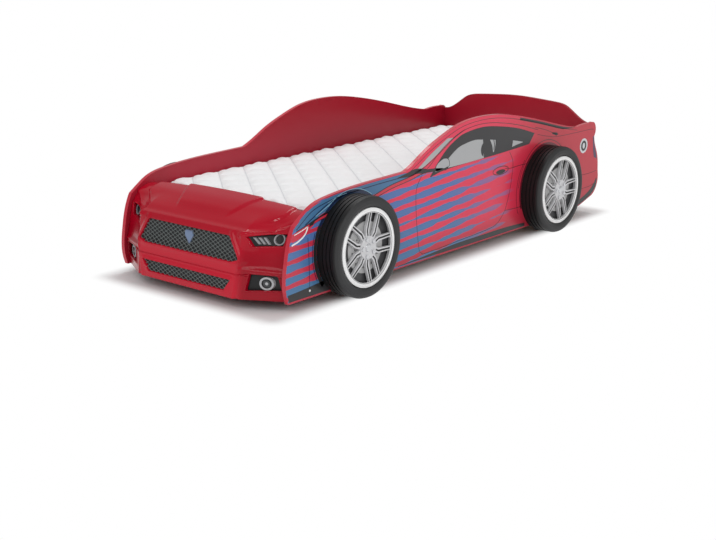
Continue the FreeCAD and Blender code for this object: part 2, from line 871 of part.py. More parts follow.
# Posts carry the ledgers to the floor, just behind each wheel
post_height = ledger_bottom - glide_height
posts = []
for side in SIDES.values():
    for start_y in post_ys.values():
        low_x = inner_half - post_side if side > 0 else -inner_half
        block = box((low_x, start_y, glide_height), (post_side, post_side, post_height))
        tools = []
        for height in post_screw_heights:
            start = (side * (inner_half - post_side - 1), start_y + post_side / 2, height)
            tools.append(rod(start, X_AXIS * side, screw_radius + hole_gap, post_side + 2))
            tools.append(rod(start, X_AXIS * side, screw_head + hole_gap, screw_head_height + 1))
        posts.append(cut(block, tools))
post_group = doc.addObject("Part::Compound", "posts")
post_group.Links = posts
keep(post_group, "leg_posts")

# The beam under the slats' middle hangs in a steel angle at each end and stands on two legs
beam_bottom = slat_bottom - beam_depth
keep(box((-beam_width / 2, bed_front, beam_bottom), (beam_width, bed_length, beam_depth)), "centre_beam")
leg_ys = (-leg_spread / 2, leg_spread / 2)
legs = [
    box((-leg_side / 2, y - leg_side / 2, glide_height), (leg_side, leg_side, beam_bottom - glide_height))
    for y in leg_ys
]
leg_group = doc.addObject("Part::Compound", "legs")
leg_group.Links = legs
keep(leg_group, "centre_legs")


def beam_angles():
    """Two steel angles: one leg flat on the end board, the other under the beam's end."""
    width, plate, leg = float(beam_width), float(hanger_plate), float(hanger_leg)
    upright = Part.makeBox(width, plate, leg, Vector(-width / 2, 0, -leg))
    seat = Part.makeBox(width, leg, plate, Vector(-width / 2, 0, -plate))
    angle = upright.fuse(seat).removeSplitter()
    hole = Part.makeCylinder(float(screw_radius + hole_gap), plate + 2, Vector(0, -1, -leg / 2), Y_AXIS)
    angle = angle.cut(hole)
    front = moved(angle, 0, bed_front, beam_bottom)
    angle.rotate(ORIGIN, Z_AXIS, 180)
    rear = moved(angle, 0, bed_rear, beam_bottom)
    return Part.Compound([front, rear])


feature("beam_angles", beam_angles())


def glide_places():
    """(X, Y) of every floor glide: under each post and each leg."""
    spots = []
    for side in SIDES.values():
        for start_y in post_ys.values():
            spots.append((side * (inner_half - post_side / 2), start_y + post_side / 2))
    return spots + [(0, y) for y in leg_ys]


def glide():
    """A plastic furniture glide: a low disc with a bevelled foot."""
    radius, height = float(glide_radius), float(glide_height)
    profile = ((0, 0), (0, radius - 1.5), (1.5, radius), (height, radius), (height, 0))
    return turned_shape(profile, Z_AXIS)


feature("floor_glides", Part.Compound([moved(glide(), x, y) for x, y in glide_places()]))


# ---------------------------------------------------------------- cam fittings, dowels, frame screws
def cam_lock():
    """A cam lock drum with a slot in its face, its open face at the origin, along -Y."""
    drum = Part.makeCylinder(float(cam_radius), float(cam_depth), ORIGIN, Y_AXIS)
    slot = Part.makeBox(2 * float(cam_radius) - 4, 2, 2, Vector(2 - float(cam_radius), 0, -1))
    mouth = Part.makeCylinder(float(cam_bolt_radius) + 0.5, 2 * float(cam_radius), ORIGIN, X_AXIS)
    mouth = moved(mouth, -cam_radius, board / 2, 0)
    return drum.cut(slot).cut(mouth)


def cam_bolt():
    """A cam bolt along +X: thread in the side panel beyond the origin, stem and ball before it."""
    stem = float(cam_reach - cam_radius) - 1
    profile = (
        (-stem, 0), (-stem, float(cam_bolt_radius)), (0, float(cam_bolt_radius)),
        (0, float(cam_thread_radius)), (float(panel_bite) - 1, float(cam_thread_radius)),
        (float(panel_bite), 0),
    )
    return turned_shape(profile, X_AXIS)


locks, bolts, pegs = [], [], []
for name, (start, high) in END_BOARDS.items():
    open_face = start if name == "foot_board" else start + board
    for side in SIDES.values():
        for height in (skirt_height + cam_low, high):
            lock = cam_lock()
            if name == "rear_panel":
                lock.rotate(ORIGIN, Z_AXIS, 180)
            locks.append(moved(lock, side * (inner_half - cam_reach), open_face, height))
            bolt = cam_bolt()
            if side < 0:
                bolt.rotate(ORIGIN, Z_AXIS, 180)
            bolts.append(moved(bolt, side * inner_half, start + board / 2, height))
        for step in (dowel_low, dowel_high):
            reach = float(dowel_length)
            peg = Part.makeCylinder(float(dowel_radius), reach, Vector(-reach / 2 - 2, 0, 0), X_AXIS)
            if side < 0:
                peg.rotate(ORIGIN, Z_AXIS, 180)
            pegs.append(moved(peg, side * inner_half, start + board / 2, skirt_height + step))
feature("cam_locks", Part.Compound(locks))
feature("cam_bolts", Part.Compound(bolts))
feature("wood_dowels", Part.Compound(pegs))

frame_screws = []
for side in SIDES.values():
    inward = side * (inner_half - ledger_width)
    for y in ledger_screw_ys:
        part_screw = screw(float(ledger_width + panel_bite), X_AXIS * side)
        frame_screws.append(moved(part_screw, inward, y, ledger_bottom + ledger_depth / 2))
    for start_y in post_ys.values():
        for height in post_screw_heights:
            part_screw = screw(float(post_side + panel_bite), X_AXIS * side)
            middle = start_y + post_side / 2
            frame_screws.append(moved(part_screw, side * (inner_half - post_side), middle, height))
feature("frame_screws", Part.Compound(frame_screws))


# ---------------------------------------------------------------- bumper and its fittings
def bumper_shell():
    """The moulded nose: one thin skin with a screw flange at each side and its openings cut."""
    half = float(shell_half)
    body = skin(stations_between(-half, half), 0, shell_wall)
    for side in SIDES.values():
        ends = sorted((side * half, side * (half - float(shell_wall))))
        body = body.fuse(skin(ends, 0, flange_width, FLANGE_FIRST, FLANGE_LAST))
    tools = [prism(outline) for outline in (upper_grille, lower_grille)]
    for side in SIDES.values():
        tools += [prism(mirrored(outline, side)) for outline in (headlamp, fog_pod)]
        for y, z in flange_screw_places():
            hole = screw_hole(float(shell_wall + panel_bite), X_AXIS * side)
            tools.append(moved(hole, side * (shell_half - shell_wall), y, z))
    for x in ledge_screw_xs:
        hole = screw_hole(float(shell_wall + panel_bite), -Z_AXIS)
        tools.append(moved(hole, x, bed_front - board / 2, ledge_height))
    return body.cut(tools)


feature("bumper_shell", bumper_shell())


def mesh_holes(outline):
    """Six-sided openings in staggered rows that stay clear of an outline's edge."""
    edge = Part.Face(Part.makePolygon([Vector(float(x), 0, float(z)) for x, z in outline + outline[:1]]))
    radius = float(mesh_cell)
    step_x = radius * math.sqrt(3) * 1.6 + float(mesh_bar)
    step_z = radius * 1.5 + float(mesh_bar) * 0.9
    lowest = min(float(z) for _, z in outline) + radius + 2
    highest = max(float(z) for _, z in outline) - radius - 2
    rows = int((highest - lowest) / step_z) + 1
    widest = max(float(x) for x, _ in outline)
    columns = int(widest / step_x) + 1
    holes = []
    for row in range(rows):
        z = lowest + row * step_z
        for column in range(-columns, columns + 1):
            x = (column + 0.5 * (row % 2)) * step_x
            corners = []
            for corner in range(6):
                angle = math.radians(60 * corner + 30)
                corners.append((x + 1.6 * radius * math.cos(angle), z + radius * math.sin(angle)))
            if all(edge.isInside(Vector(u, 0, v), 0.01, True) for u, v in corners):
                holes.append(prism(corners))
    return Part.Compound(holes)


def mesh(outline):
    """A moulded grille mesh with a wall all round that meets the shell's back."""
    low, high = span(outline, 25)
    sheet_part = face_skin(low, high, mesh_recess, mesh_recess + mesh_thick)
    sheet_part = sheet_part.common(prism(grown(outline, inlay_margin)))
    wall = face_skin(low, high, shell_wall + inlay_gap, mesh_recess + mesh_thick)
    wall = wall.common(prism(grown(outline, inlay_margin))).cut(prism(outline))
    return sheet_part.cut(mesh_holes(outline)).fuse(wall).removeSplitter()


feature("grille_mesh_upper", mesh(upper_grille))
feature("grille_mesh_lower", mesh(lower_grille))
feature("badge_blank", inlay(prism(badge), -30, 30, mesh_recess - 5, mesh_recess))

for side_name, side in SIDES.items():
    feature(f"headlamp_tray_{side_name}", tray(mirrored(headlamp, side), headlamp_recess))
    feature(f"fog_pod_{side_name}", tray(mirrored(fog_pod, side), fog_recess))


def lamp_bar(top_x, side):
    """A slanted light bar's outline inside the headlamp."""
    top, bottom = hood_height - 95, hood_height - 117
    outline = ((top_x, top), (top_x + 7, top), (top_x + 25, bottom), (top_x + 18, bottom))
    return mirrored(outline, side)


def ring_tool(centre, radius, width, side):
    """A round bar with a round hole, along Y, for a lamp's ring."""
    outer = disc_prism(side * centre[0], centre[1], radius)
    return outer.cut(disc_prism(side * centre[0], centre[1], float(radius) - width))


lamp_bars, lamp_rings, fog_lamps = [], [], []
for side in SIDES.values():
    for top_x in bar_tops:
        outline = lamp_bar(top_x, side)
        low, high = span(outline)
        front = headlamp_recess - lamp_relief
        lamp_bars.append(inlay(prism(outline), low, high, front, headlamp_recess))
    reach = float(headlamp_ring) + 6
    middle = side * headlamp_centre[0]
    ring = ring_tool(headlamp_centre, headlamp_ring, 4, side)
    front = headlamp_recess - lamp_relief
    lamp_rings.append(inlay(ring, middle - reach, middle + reach, front, headlamp_recess))
    reach = float(fog_lamp_radius) + 6
    middle = side * fog_centre[0]
    disc = disc_prism(middle, fog_centre[1], fog_lamp_radius)
    lamp = inlay(disc, middle - reach, middle + reach, fog_recess - 2 * lamp_relief, fog_recess)
    groove = inlay(ring_tool(fog_centre, 16, 5, side), middle - reach, middle + reach, -5, fog_recess - 4)
    fog_lamps.append(lamp.cut(groove))
feature("headlamp_bars", Part.Compound(lamp_bars))
feature("headlamp_rings", Part.Compound(lamp_rings))
feature("fog_lamps", Part.Compound(fog_lamps))

bumper_screws = []
for side in SIDES.values():
    for y, z in flange_screw_places():
        part_screw = screw(float(shell_wall + panel_bite), X_AXIS * side)
        bumper_screws.append(moved(part_screw, side * (shell_half - shell_wall), y, z))
for x in ledge_screw_xs:
    part_screw = screw(float(shell_wall + panel_bite), -Z_AXIS)
    bumper_screws.append(moved(part_screw, x, bed_front - board / 2, ledge_height))
feature("bumper_screws", Part.Compound(bumper_screws))


# ---------------------------------------------------------------- wheels
def wheel_profile(body, points):
    """A closed profile of (distance from the panel, radius) points, revolved about the axle."""
    drawing = sketch(body, "XY_Plane")
    polygon(drawing, points)
    return turn(body, drawing)


def tyre(label):
    """A hollow moulded tyre, open at its back: grooved tread, rounded shoulder, flat side."""
    body = new_body(label)
    outer = wheel_radius
    shelf = wheel_depth - shoulder
    points = [(rim_gap, outer - tread_wall), (rim_gap, outer)]
    for share in (0.3, 0.5, 0.7):
        start = wheel_depth * share - groove_width / 2
        points += [(start, outer), (start, outer - groove_depth)]
        points += [(start + groove_width, outer - groove_depth), (start + groove_width, outer)]
    points += [(shelf, outer), (shelf + shoulder * 0.55, outer - shoulder * 0.2)]
    points += [(wheel_depth - 2, outer - shoulder * 0.65), (wheel_depth, outer - shoulder * 1.1)]
    points += [(wheel_depth, tyre_bore + 14), (wheel_depth - 3, tyre_bore + 4)]
    points += [(wheel_depth - 9, tyre_bore), (wheel_depth - 9 - sidewall, tyre_bore)]
    points += [(wheel_depth - 3 - sidewall, tyre_bore + 8), (shelf, outer - tread_wall)]
    wheel_profile(body, points)
    return body


def rim(label):
    """A moulded rim: hub with a boss to the backing disc, five double spokes, web and barrel."""
    body = new_body(label)
    outer = tyre_bore - rim_gap
    boss_end = spoke_front - spoke_thick
    flange = hub_boss + boss_flange
    hub = (
        (board + rim_gap, cap_plug), (board + rim_gap, flange), (disc_seat - web, flange),
        (disc_seat - web, outer - rim_wall), (disc_seat, outer - rim_wall),
        (disc_seat, hub_boss), (boss_end, hub_boss), (boss_end, hub_radius),
        (spoke_front, hub_radius), (spoke_front, cap_plug),
    )
    wheel_profile(body, hub)
    bars = sketch(body, "YZ_Plane", boss_end)
    outside = outer - rim_wall / 2
    for hand in (1, -1):
        corners = (
            (spoke_inside, hand * spoke_root), (spoke_knee, hand * spoke_knee_gap),
            (outside, hand * spoke_pair), (outside, hand * (spoke_pair + spoke_width)),
            (spoke_knee, hand * (spoke_knee_gap + (spoke_root_width + spoke_width) / 2)),
            (spoke_inside, hand * (spoke_root + spoke_root_width)),
        )
        polygon(bars, corners)
    spokes = pad(body, bars, spoke_thick - ring_overlap)
    polar(body, [spokes], spoke_count)
    barrel = sketch(body, "XY_Plane")
    front = spoke_front
    polygon(barrel, (
        (disc_seat - web, outer - rim_wall), (disc_seat - web, outer),
        (front - ring_overlap, outer), (front - ring_overlap, outer - rim_wall),
    ))
    turn(body, barrel)
    holes = sketch(body, "YZ_Plane", spoke_front)
    for turn_number in range(spoke_count):
        angle = math.radians(float(lug_turn) + 72 * turn_number)
        circle(holes, lug_circle * math.cos(angle), lug_circle * math.sin(angle), lug_shank + hole_gap)
    pocket(body, holes, spoke_front)
    return body


def brake_disc(label):
    """A drilled disc that sits on the rim's boss, behind the spokes."""
    body = new_body(label)
    points = (
        (disc_seat, hub_boss + rim_gap), (disc_seat, disc_radius),
        (disc_seat + disc_thick, disc_radius), (disc_seat + disc_thick, hub_boss + rim_gap),
    )
    wheel_profile(body, points)
    holes = sketch(body, "YZ_Plane", disc_seat + disc_thick)
    for radius, turn_by in ((hub_boss + 18, 0), (disc_radius - 12, 18), (hub_boss + 34, 9)):
        angle = math.radians(turn_by)
        circle(holes, radius * math.cos(angle), radius * math.sin(angle), disc_hole)
    drilled = pocket(body, holes, disc_thick)
    polar(body, [drilled], 2 * spoke_count)
    return body


def lug_bolt():
    """A hexagon bolt along -X: its head stands on the hub and its shank ends in the disc."""
    head = [Vector(0, lug_head * math.cos(math.radians(60 * i)), lug_head * math.sin(math.radians(60 * i)))
            for i in range(6)]
    hexagon = Part.Face(Part.makePolygon(head + head[:1])).extrude(X_AXIS * float(lug_height))
    length = float(spoke_front - board + lug_bite)
    shank = Part.makeCylinder(float(lug_shank), length, Vector(-length, 0, 0), X_AXIS)
    return hexagon.fuse(shank)


ring_back = spoke_front - ring_overlap
ring_rim = tyre_bore - rim_gap
ring_bore = ring_rim - ring_width
lug_bolts, wheel_screws = [], []
for side_name, side in SIDES.items():
    for axle_name, axle in AXLES.items():
        wheel = f"{axle_name}_{side_name}"
        facing = Rotation(Z_AXIS, 0 if side > 0 else 180)
        backing = new_body(f"wheel_disc_{wheel}")
        outline = sketch(backing, "YZ_Plane")
        circle(outline, 0, 0, wheel_radius - tread_wall - rim_gap)
        pad(backing, outline, board)
        holes = sketch(backing, "YZ_Plane", board)
        for number in range(spoke_count):
            angle = math.radians(float(lug_turn) + 72 * number)
            circle(holes, lug_circle * math.cos(angle), lug_circle * math.sin(angle),
                   lug_shank + hole_gap)
        pocket(backing, holes, lug_bite + hole_gap)
        holes = sketch(backing, "YZ_Plane")
        for degrees in (30, 150, 270):
            angle = math.radians(degrees)
            circle(holes, wheel_screw_circle * math.cos(angle), wheel_screw_circle * math.sin(angle),
                   screw_radius + hole_gap)
        pocket(backing, holes, panel_bite + hole_gap, reverse=True)
        ring = new_body(f"trim_ring_{wheel}")
        wheel_profile(ring, (
            (ring_back, ring_bore), (ring_back, ring_rim), (ring_back + ring_thick, ring_rim),
            (ring_back + ring_thick + ring_crown, ring_rim - ring_width * 0.4),
            (ring_back + ring_thick, ring_bore),
        ))
        bodies = [backing, ring, tyre(f"tyre_{wheel}"), rim(f"rim_{wheel}")]
        bodies.append(brake_disc(f"brake_disc_{wheel}"))
        for body in bodies:
            body.Placement = Placement(ORIGIN, facing)
            place(body, side * outer_half, axle, hub_height)
        for number in range(spoke_count):
            angle = math.radians(float(lug_turn) + 72 * number)
            bolt = lug_bolt()
            bolt = moved(bolt, spoke_front, lug_circle * math.cos(angle), lug_circle * math.sin(angle))
            bolt.Placement = Placement(ORIGIN, facing).multiply(bolt.Placement)
            lug_bolts.append(moved(bolt, side * outer_half, axle, hub_height))
for side in SIDES.values():
    for y, z in wheel_screw_places():
        part_screw = screw(float(board + panel_bite), X_AXIS * side)
        wheel_screws.append(moved(part_screw, side * inner_half, y, z))
feature("lug_bolts", Part.Compound(lug_bolts))
feature("wheel_screws", Part.Compound(wheel_screws))


def centre_cap():
    """A domed cap with a plug that fits the hub's bore."""
    radius, height = float(cap_radius), float(cap_height)
    plug, depth = float(cap_plug - rim_gap), float(cap_plug_depth)
    profile = ((-depth, 0), (-depth, plug), (0, plug), (0, radius), (height * 0.5, radius * 0.94),
               (height * 0.85, radius * 0.6), (height, 0))
    return turned_shape(profile, X_AXIS)


caps = []
for side in SIDES.values():
    for axle in AXLES.values():
        cap = centre_cap()
        if side < 0:
            cap.rotate(ORIGIN, Z_AXIS, 180)
        caps.append(moved(cap, side * (outer_half + spoke_front), axle, hub_height))
feature("centre_caps", Part.Compound(caps))


# ---------------------------------------------------------------- mattress
def rounded_outline(half_x, half_y, radius, draw=0):
    """A rounded rectangle whose long and short sides draw in by a little at their middles."""
    x, y, r, d = float(half_x), float(half_y), float(radius), float(draw)
    nip = r * (1 - math.sqrt(0.5))
    side_x = Part.Arc(Vector(x, r - y, 0), Vector(x - d, 0, 0), Vector(x, y - r, 0))
    corner_a = Part.Arc(Vector(x, y - r, 0), Vector(x - nip, y - nip, 0), Vector(x - r, y, 0))
    side_y = Part.Arc(Vector(x - r, y, 0), Vector(0, y - d, 0), Vector(r - x, y, 0))
    corner_b = Part.Arc(Vector(r - x, y, 0), Vector(nip - x, y - nip, 0), Vector(-x, y - r, 0))
    half = [side_x.toShape(), corner_a.toShape(), side_y.toShape(), corner_b.toShape()]
    turned = [edge.copy() for edge in half]
    for edge in turned:
        edge.rotate(ORIGIN, Z_AXIS, 180)
    return Part.Wire(half + turned)


def quilted_block():
    """The mattress cover's block: a crowned top of diamonds whose seams are its low lines.

    Corners of the grid whose row and column add up to an even number are seam crossings, the
    others are the tops of the diamonds, and each cell of the grid is split along its seam.
    """
    columns, rows = 2 * quilt_across, 2 * quilt_along
    half_x, half_y = float(mattress_width) / 2, float(mattress_length) / 2
    low = float(mattress_bottom)
    base = low + float(mattress_thickness) - float(mattress_crown) - float(quilt_rise)

    def corner(column, row):
        u, v = 2 * column / columns - 1, 2 * row / rows - 1
        crown = float(mattress_crown) * (1 - u ** 4) * (1 - v ** 8)
        puff = float(quilt_rise) if (column + row) % 2 and abs(u) < 1 and abs(v) < 1 else 0
        return Vector(u * half_x, v * half_y, base + crown + puff)

    faces = []
    for column in range(columns):
        for row in range(rows):
            a, b = corner(column, row), corner(column + 1, row)
            c, d = corner(column + 1, row + 1), corner(column, row + 1)
            halves = ((a, b, c), (a, c, d)) if (column + row) % 2 == 0 else ((a, b, d), (b, c, d))
            faces += [Part.Face(Part.makePolygon(half + half[:1])) for half in halves]
    rim_points = [corner(i, 0) for i in range(columns)] + [corner(columns, i) for i in range(rows)]
    rim_points += [corner(columns - i, rows) for i in range(columns)]
    rim_points += [corner(0, rows - i) for i in range(rows)]
    floor = [Vector(point.x, point.y, low) for point in rim_points]
    count = len(floor)
    for i in range(count):
        j = (i + 1) % count
        wall = [rim_points[i], floor[i], floor[j], rim_points[j]]
        faces.append(Part.Face(Part.makePolygon(wall + wall[:1])))
    faces.append(Part.Face(Part.makePolygon(floor + floor[:1])))
    shell = Part.Shell(faces)
    shell.sewShape()
    return Part.Solid(shell)


mattress_middle = (bed_front + bed_rear) / 2


def mattress_cover():
    """The quilted cover: the block within its rounded outline, hollow for the foam core."""
    half_x, half_y = mattress_width / 2, mattress_length / 2
    outline = Part.Face(rounded_outline(half_x, half_y, mattress_corner, mattress_draw))
    bar = moved(outline.extrude(Z_AXIS * 2 * float(mattress_thickness)), 0, 0, mattress_bottom - 10)
    block = quilted_block().common(bar)
    return moved(block.cut(core_block(soft_gap)), y=mattress_middle)


def core_block(margin=0):
    """The foam core inside the cover, grown by a margin for the cover's hollow."""
    wall = float(mattress_wall) + float(mattress_draw) - float(margin)
    half_x, half_y = float(mattress_width) / 2 - wall, float(mattress_length) / 2 - wall
    outline = Part.Face(rounded_outline(half_x, half_y, mattress_corner - wall, mattress_draw / 2))
    low = float(mattress_bottom) + float(mattress_wall) - float(margin)
    drop = float(mattress_crown + quilt_rise) + 2 * float(mattress_wall) - 2 * float(margin)
    return moved(outline.extrude(Z_AXIS * (float(mattress_thickness) - drop)), z=low)


feature("mattress_core", moved(core_block(), y=mattress_middle))
feature("mattress_cover", mattress_cover())


# ================================================================ checks and export
doc.recompute()
for thing in doc.Objects:
    if "Invalid" in thing.State or "Error" in thing.State:
        raise RuntimeError(f"{thing.Name} ({thing.Label}) failed: {thing.State}")
failed = [piece.Label for piece in PIECES if piece.Shape.isNull() or not piece.Shape.isValid()]
if failed:
    raise RuntimeError(f"no valid shape: {failed}")
for piece in PIECES:
    shape = piece.Shape
    if shape.Volume <= 0:
        raise RuntimeError(f"{piece.Label} is inside out")
    shape.exportStep(f"parts/{piece.Label}.step")
whole = Part.Compound([piece.Shape for piece in PIECES]).BoundBox
print(f"{len(PIECES)} pieces, X {whole.XMin:.2f}..{whole.XMax:.2f}, "
      f"Y {whole.YMin:.2f}..{whole.YMax:.2f}, Z {whole.ZMin:.2f}..{whole.ZMax:.2f}")
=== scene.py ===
# %% [markdown]
# A car bed for children
#
# The frame of the bed, its boards, slats, wheels and screws, comes from the construction model, and
# every piece made here is in the same metres and the same place. X runs across the bed, with the
# car's left side at +X. The nose points to -Y, and Z is up from the floor.

# %% Load the frame
import math
import bpy
import numpy as np
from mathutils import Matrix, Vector


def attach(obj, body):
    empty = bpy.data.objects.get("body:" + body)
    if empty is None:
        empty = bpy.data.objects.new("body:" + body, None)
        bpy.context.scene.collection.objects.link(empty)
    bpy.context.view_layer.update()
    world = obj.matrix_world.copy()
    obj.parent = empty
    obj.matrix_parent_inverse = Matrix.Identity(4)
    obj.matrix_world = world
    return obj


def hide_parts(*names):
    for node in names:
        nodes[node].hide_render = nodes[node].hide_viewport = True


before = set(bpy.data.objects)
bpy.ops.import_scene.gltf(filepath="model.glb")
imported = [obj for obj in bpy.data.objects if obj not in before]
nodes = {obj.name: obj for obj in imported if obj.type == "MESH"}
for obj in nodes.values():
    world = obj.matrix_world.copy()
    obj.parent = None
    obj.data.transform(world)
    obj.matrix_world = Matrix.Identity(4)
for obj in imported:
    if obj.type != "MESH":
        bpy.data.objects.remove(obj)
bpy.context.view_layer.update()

MM = 0.001
scene = bpy.context.scene

# %% [markdown]
# The camera. The bed is seen from its front left corner, a little from above, with a long lens. It
# could be aimed by eye, but then no edge would lie where the picture has it. Its two angles and its
# place were found by laying the bed's known corners over the picture.

# %% The camera
PICTURE_WIDTH, FOCAL_PIXELS, SENSOR = 716, 1267.2, 36
azimuth, elevation = math.radians(39.976), math.radians(15.560)
away = Vector((math.sin(azimuth) * math.cos(elevation),
               -math.cos(azimuth) * math.cos(elevation), math.sin(elevation)))
camera = bpy.data.objects.new("camera", bpy.data.cameras.new("camera"))
camera.location = (3.2221, -3.9700, 1.2948)
camera.rotation_mode = "QUATERNION"
camera.rotation_quaternion = (-away).to_track_quat("-Z", "Y")
camera.data.sensor_width = SENSOR
camera.data.lens = FOCAL_PIXELS * SENSOR / PICTURE_WIDTH
camera.data.clip_end = 60
scene.collection.objects.link(camera)
scene.camera = camera
scene.view_settings.view_transform = "Standard"
print("lens", round(camera.data.lens, 2), "mm")

# %% [markdown]
# A small language for materials. Every finish is a graph of shader nodes, and writing each link by
# hand would hide what the finish is. `Graph` adds a node, joins what it is given and hands back its
# output, so a finish reads as the formula it is. It works in a material and in a node group alike.


# %% A helper that writes node graphs
class Graph:
    """A tree of shader nodes, filled by formulas."""

    def __init__(self, tree):
        self.tree = tree

    def join(self, value, socket):
        """Links a node's output to the socket, or sets a plain number or colour."""
        if isinstance(value, bpy.types.NodeSocket):
            self.tree.links.new(value, socket)
        else:
            socket.default_value = value

    def node(self, kind, inputs=None, **settings):
        """Adds a node, sets its settings, and feeds its inputs by name or number."""
        made = self.tree.nodes.new(kind)
        for name, value in settings.items():
            setattr(made, name, value)
        for name, value in (inputs or {}).items():
            self.join(value, made.inputs[name])
        return made

    def math(self, operation, *values):
        """One sum, product, comparison or other function of up to three numbers."""
        return self.node("ShaderNodeMath", dict(enumerate(values)), operation=operation).outputs[0]

    def times(self, first, second):
        """first * second."""
        return self.math("MULTIPLY", first, second)

    def minus(self, first, second):
        """first - second."""
        return self.math("SUBTRACT", first, second)

    def away(self, value):
        """How far a number is from 0, whichever its sign."""
        return self.math("ABSOLUTE", value)

    def length(self, across, along):
        """The square root of across^2 + along^2."""
        squares = [self.math("POWER", value, 2.0) for value in (across, along)]
        return self.math("POWER", self.math("ADD", *squares), 0.5)

    def mix(self, share, first, second):
        """The first colour where share is 0 and the second where it is 1."""
        made = self.node("ShaderNodeMix", {0: share, 6: first, 7: second}, data_type="RGBA")
        return made.outputs[2]

    def step(self, value, low, high):
        """0 below low, 1 above high, and a smooth rise between them. Low may be the larger one."""
        made = self.node("ShaderNodeMapRange", {0: value, 1: low, 2: high, 3: 0.0, 4: 1.0},
                         interpolation_type="SMOOTHSTEP")
        return made.outputs[0]

    def noise(self, place, scale, detail=3.0, roughness=0.55):
        """Soft random numbers around 0.5, which vary over 1 / scale metres."""
        made = self.node("ShaderNodeTexNoise", {"Vector": place, "Scale": scale, "Detail": detail,
                                                "Roughness": roughness})
        return made.outputs[0]

    def place(self, scale=(1, 1, 1)):
        """Object coordinates, stretched."""
        here = self.node("ShaderNodeTexCoord").outputs["Object"]
        return self.node("ShaderNodeMapping", {"Vector": here, "Scale": scale}).outputs[0]

    def point(self, x, y, z):
        """Three numbers as one place."""
        return self.node("ShaderNodeCombineXYZ", {0: x, 1: y, 2: z}).outputs[0]

    def axes(self):
        """Object X, Y and Z as three numbers, in metres."""
        here = self.node("ShaderNodeTexCoord").outputs["Object"]
        return self.node("ShaderNodeSeparateXYZ", {0: here}).outputs[:]


def srgb(red, green, blue):
    """A colour given as on a screen, 0 to 255, as the linear colour that a shader wants."""
    shares = np.array([red, green, blue]) / 255
    linear = np.where(shares <= 0.04045, shares / 12.92, ((shares + 0.055) / 1.055) ** 2.4)
    return (*map(float, linear), 1.0)


def group(name, takes, gives):
    """A node group with named inputs and outputs, and the Graph that fills it."""
    tree = bpy.data.node_groups.new(name, "ShaderNodeTree")
    for label, (kind, value) in takes.items():
        socket = tree.interface.new_socket(label, in_out="INPUT", socket_type="NodeSocket" + kind)
        socket.default_value = value
    for label, kind in gives.items():
        tree.interface.new_socket(label, in_out="OUTPUT", socket_type="NodeSocket" + kind)
    entry = tree.nodes.new("NodeGroupInput")
    leave = tree.nodes.new("NodeGroupOutput")
    return tree, Graph(tree), entry.outputs, leave.inputs


def material(name):
    """A new material with one Principled shader, as (material, graph, shader inputs)."""
    made = bpy.data.materials.new(name)
    made.use_nodes = True
    made.node_tree.nodes.clear()
    graph = Graph(made.node_tree)
    shader = graph.node("ShaderNodeBsdfPrincipled")
    graph.node("ShaderNodeOutputMaterial", {0: shader.outputs[0]})
    return made, graph, shader.inputs


print("a screen's grey of 128 sends", round(srgb(128, 128, 128)[0], 3), "of the light of white")

# %% [markdown]
# Two effects that many finishes share. Moulded and printed surfaces are never quite even: their
# colour drifts a little over a hand's breadth, and their shine changes with fingerprints and fine
# grain. The first group gives that, from two noises. The second is the fine grain alone, as the
# height for a bump, which makes plastic look like plastic and not like glass. A photograph of a
# surface would do the same, but a formula has no edge and no repeat.

# %% Shared effects: drifting colour and fine grain
DRIFT, graph, takes, gives = group(
    "surface_drift",
    {"Color": ("Color", (0.5, 0.5, 0.5, 1)), "Drift": ("Float", 0.06),
     "Roughness": ("Float", 0.4), "Spread": ("Float", 0.06), "Size": ("Float", 9.0)},
    {"Color": "Color", "Roughness": "Float"})
broad = graph.minus(graph.noise(graph.place(), takes["Size"], 2.0), 0.5)
fine = graph.minus(graph.noise(graph.place(), 160.0, 3.0), 0.5)
bright = graph.math("MULTIPLY_ADD", broad, takes["Drift"], 1.0)
shaded = graph.node("ShaderNodeVectorMath", {0: takes["Color"], 1: bright}, operation="MULTIPLY")
graph.join(shaded.outputs[0], gives["Color"])
graph.join(graph.math("MULTIPLY_ADD", graph.math("ADD", broad, fine), takes["Spread"],
                      takes["Roughness"]), gives["Roughness"])

GRAIN, graph, takes, gives = group(
    "fine_grain", {"Scale": ("Float", 900.0), "Height": ("Float", 1.0)}, {"Height": "Float"})
grain = graph.noise(graph.place(), takes["Scale"], 4.0, 0.6)
graph.join(graph.times(grain, takes["Height"]), gives["Height"])


def finish(name, colour, roughness, drift=0.08, spread=0.06, grain=0.05, scale=900.0,
           metal=0.0, coat=0.0, coat_rough=0.05, shine=0.3, paint=None):
    """A material from the two shared groups. paint(graph) may give the colour as an output."""
    made, graph, shader = material(name)
    surface = graph.node("ShaderNodeGroup", {
        "Color": paint(graph) if paint else colour, "Drift": drift, "Roughness": roughness,
        "Spread": spread}, node_tree=DRIFT).outputs
    relief = graph.node("ShaderNodeGroup", {"Scale": scale}, node_tree=GRAIN).outputs[0]
    bump = graph.node("ShaderNodeBump", {"Strength": grain, "Distance": MM, "Height": relief})
    looks = {"Base Color": surface["Color"], "Roughness": surface["Roughness"], "Metallic": metal,
             "Specular IOR Level": shine, "Coat Weight": coat, "Coat Roughness": coat_rough,
             "Normal": bump.outputs[0]}
    for socket, value in looks.items():
        graph.join(value, shader[socket])
    return made


print("shared effects:", DRIFT.name, "and", GRAIN.name)

# %% [markdown]
# Surfaces from formulas. A shape here is a grid of points: one parameter runs across it and one
# along it, and numpy works out all the points at once. `grid_faces` numbers the faces of such a
# grid, and `build` makes the mesh. Where the grid closes on itself, the last row joins the first.
# Modelling by hand could give the same shapes, but a formula can be read, measured and changed.


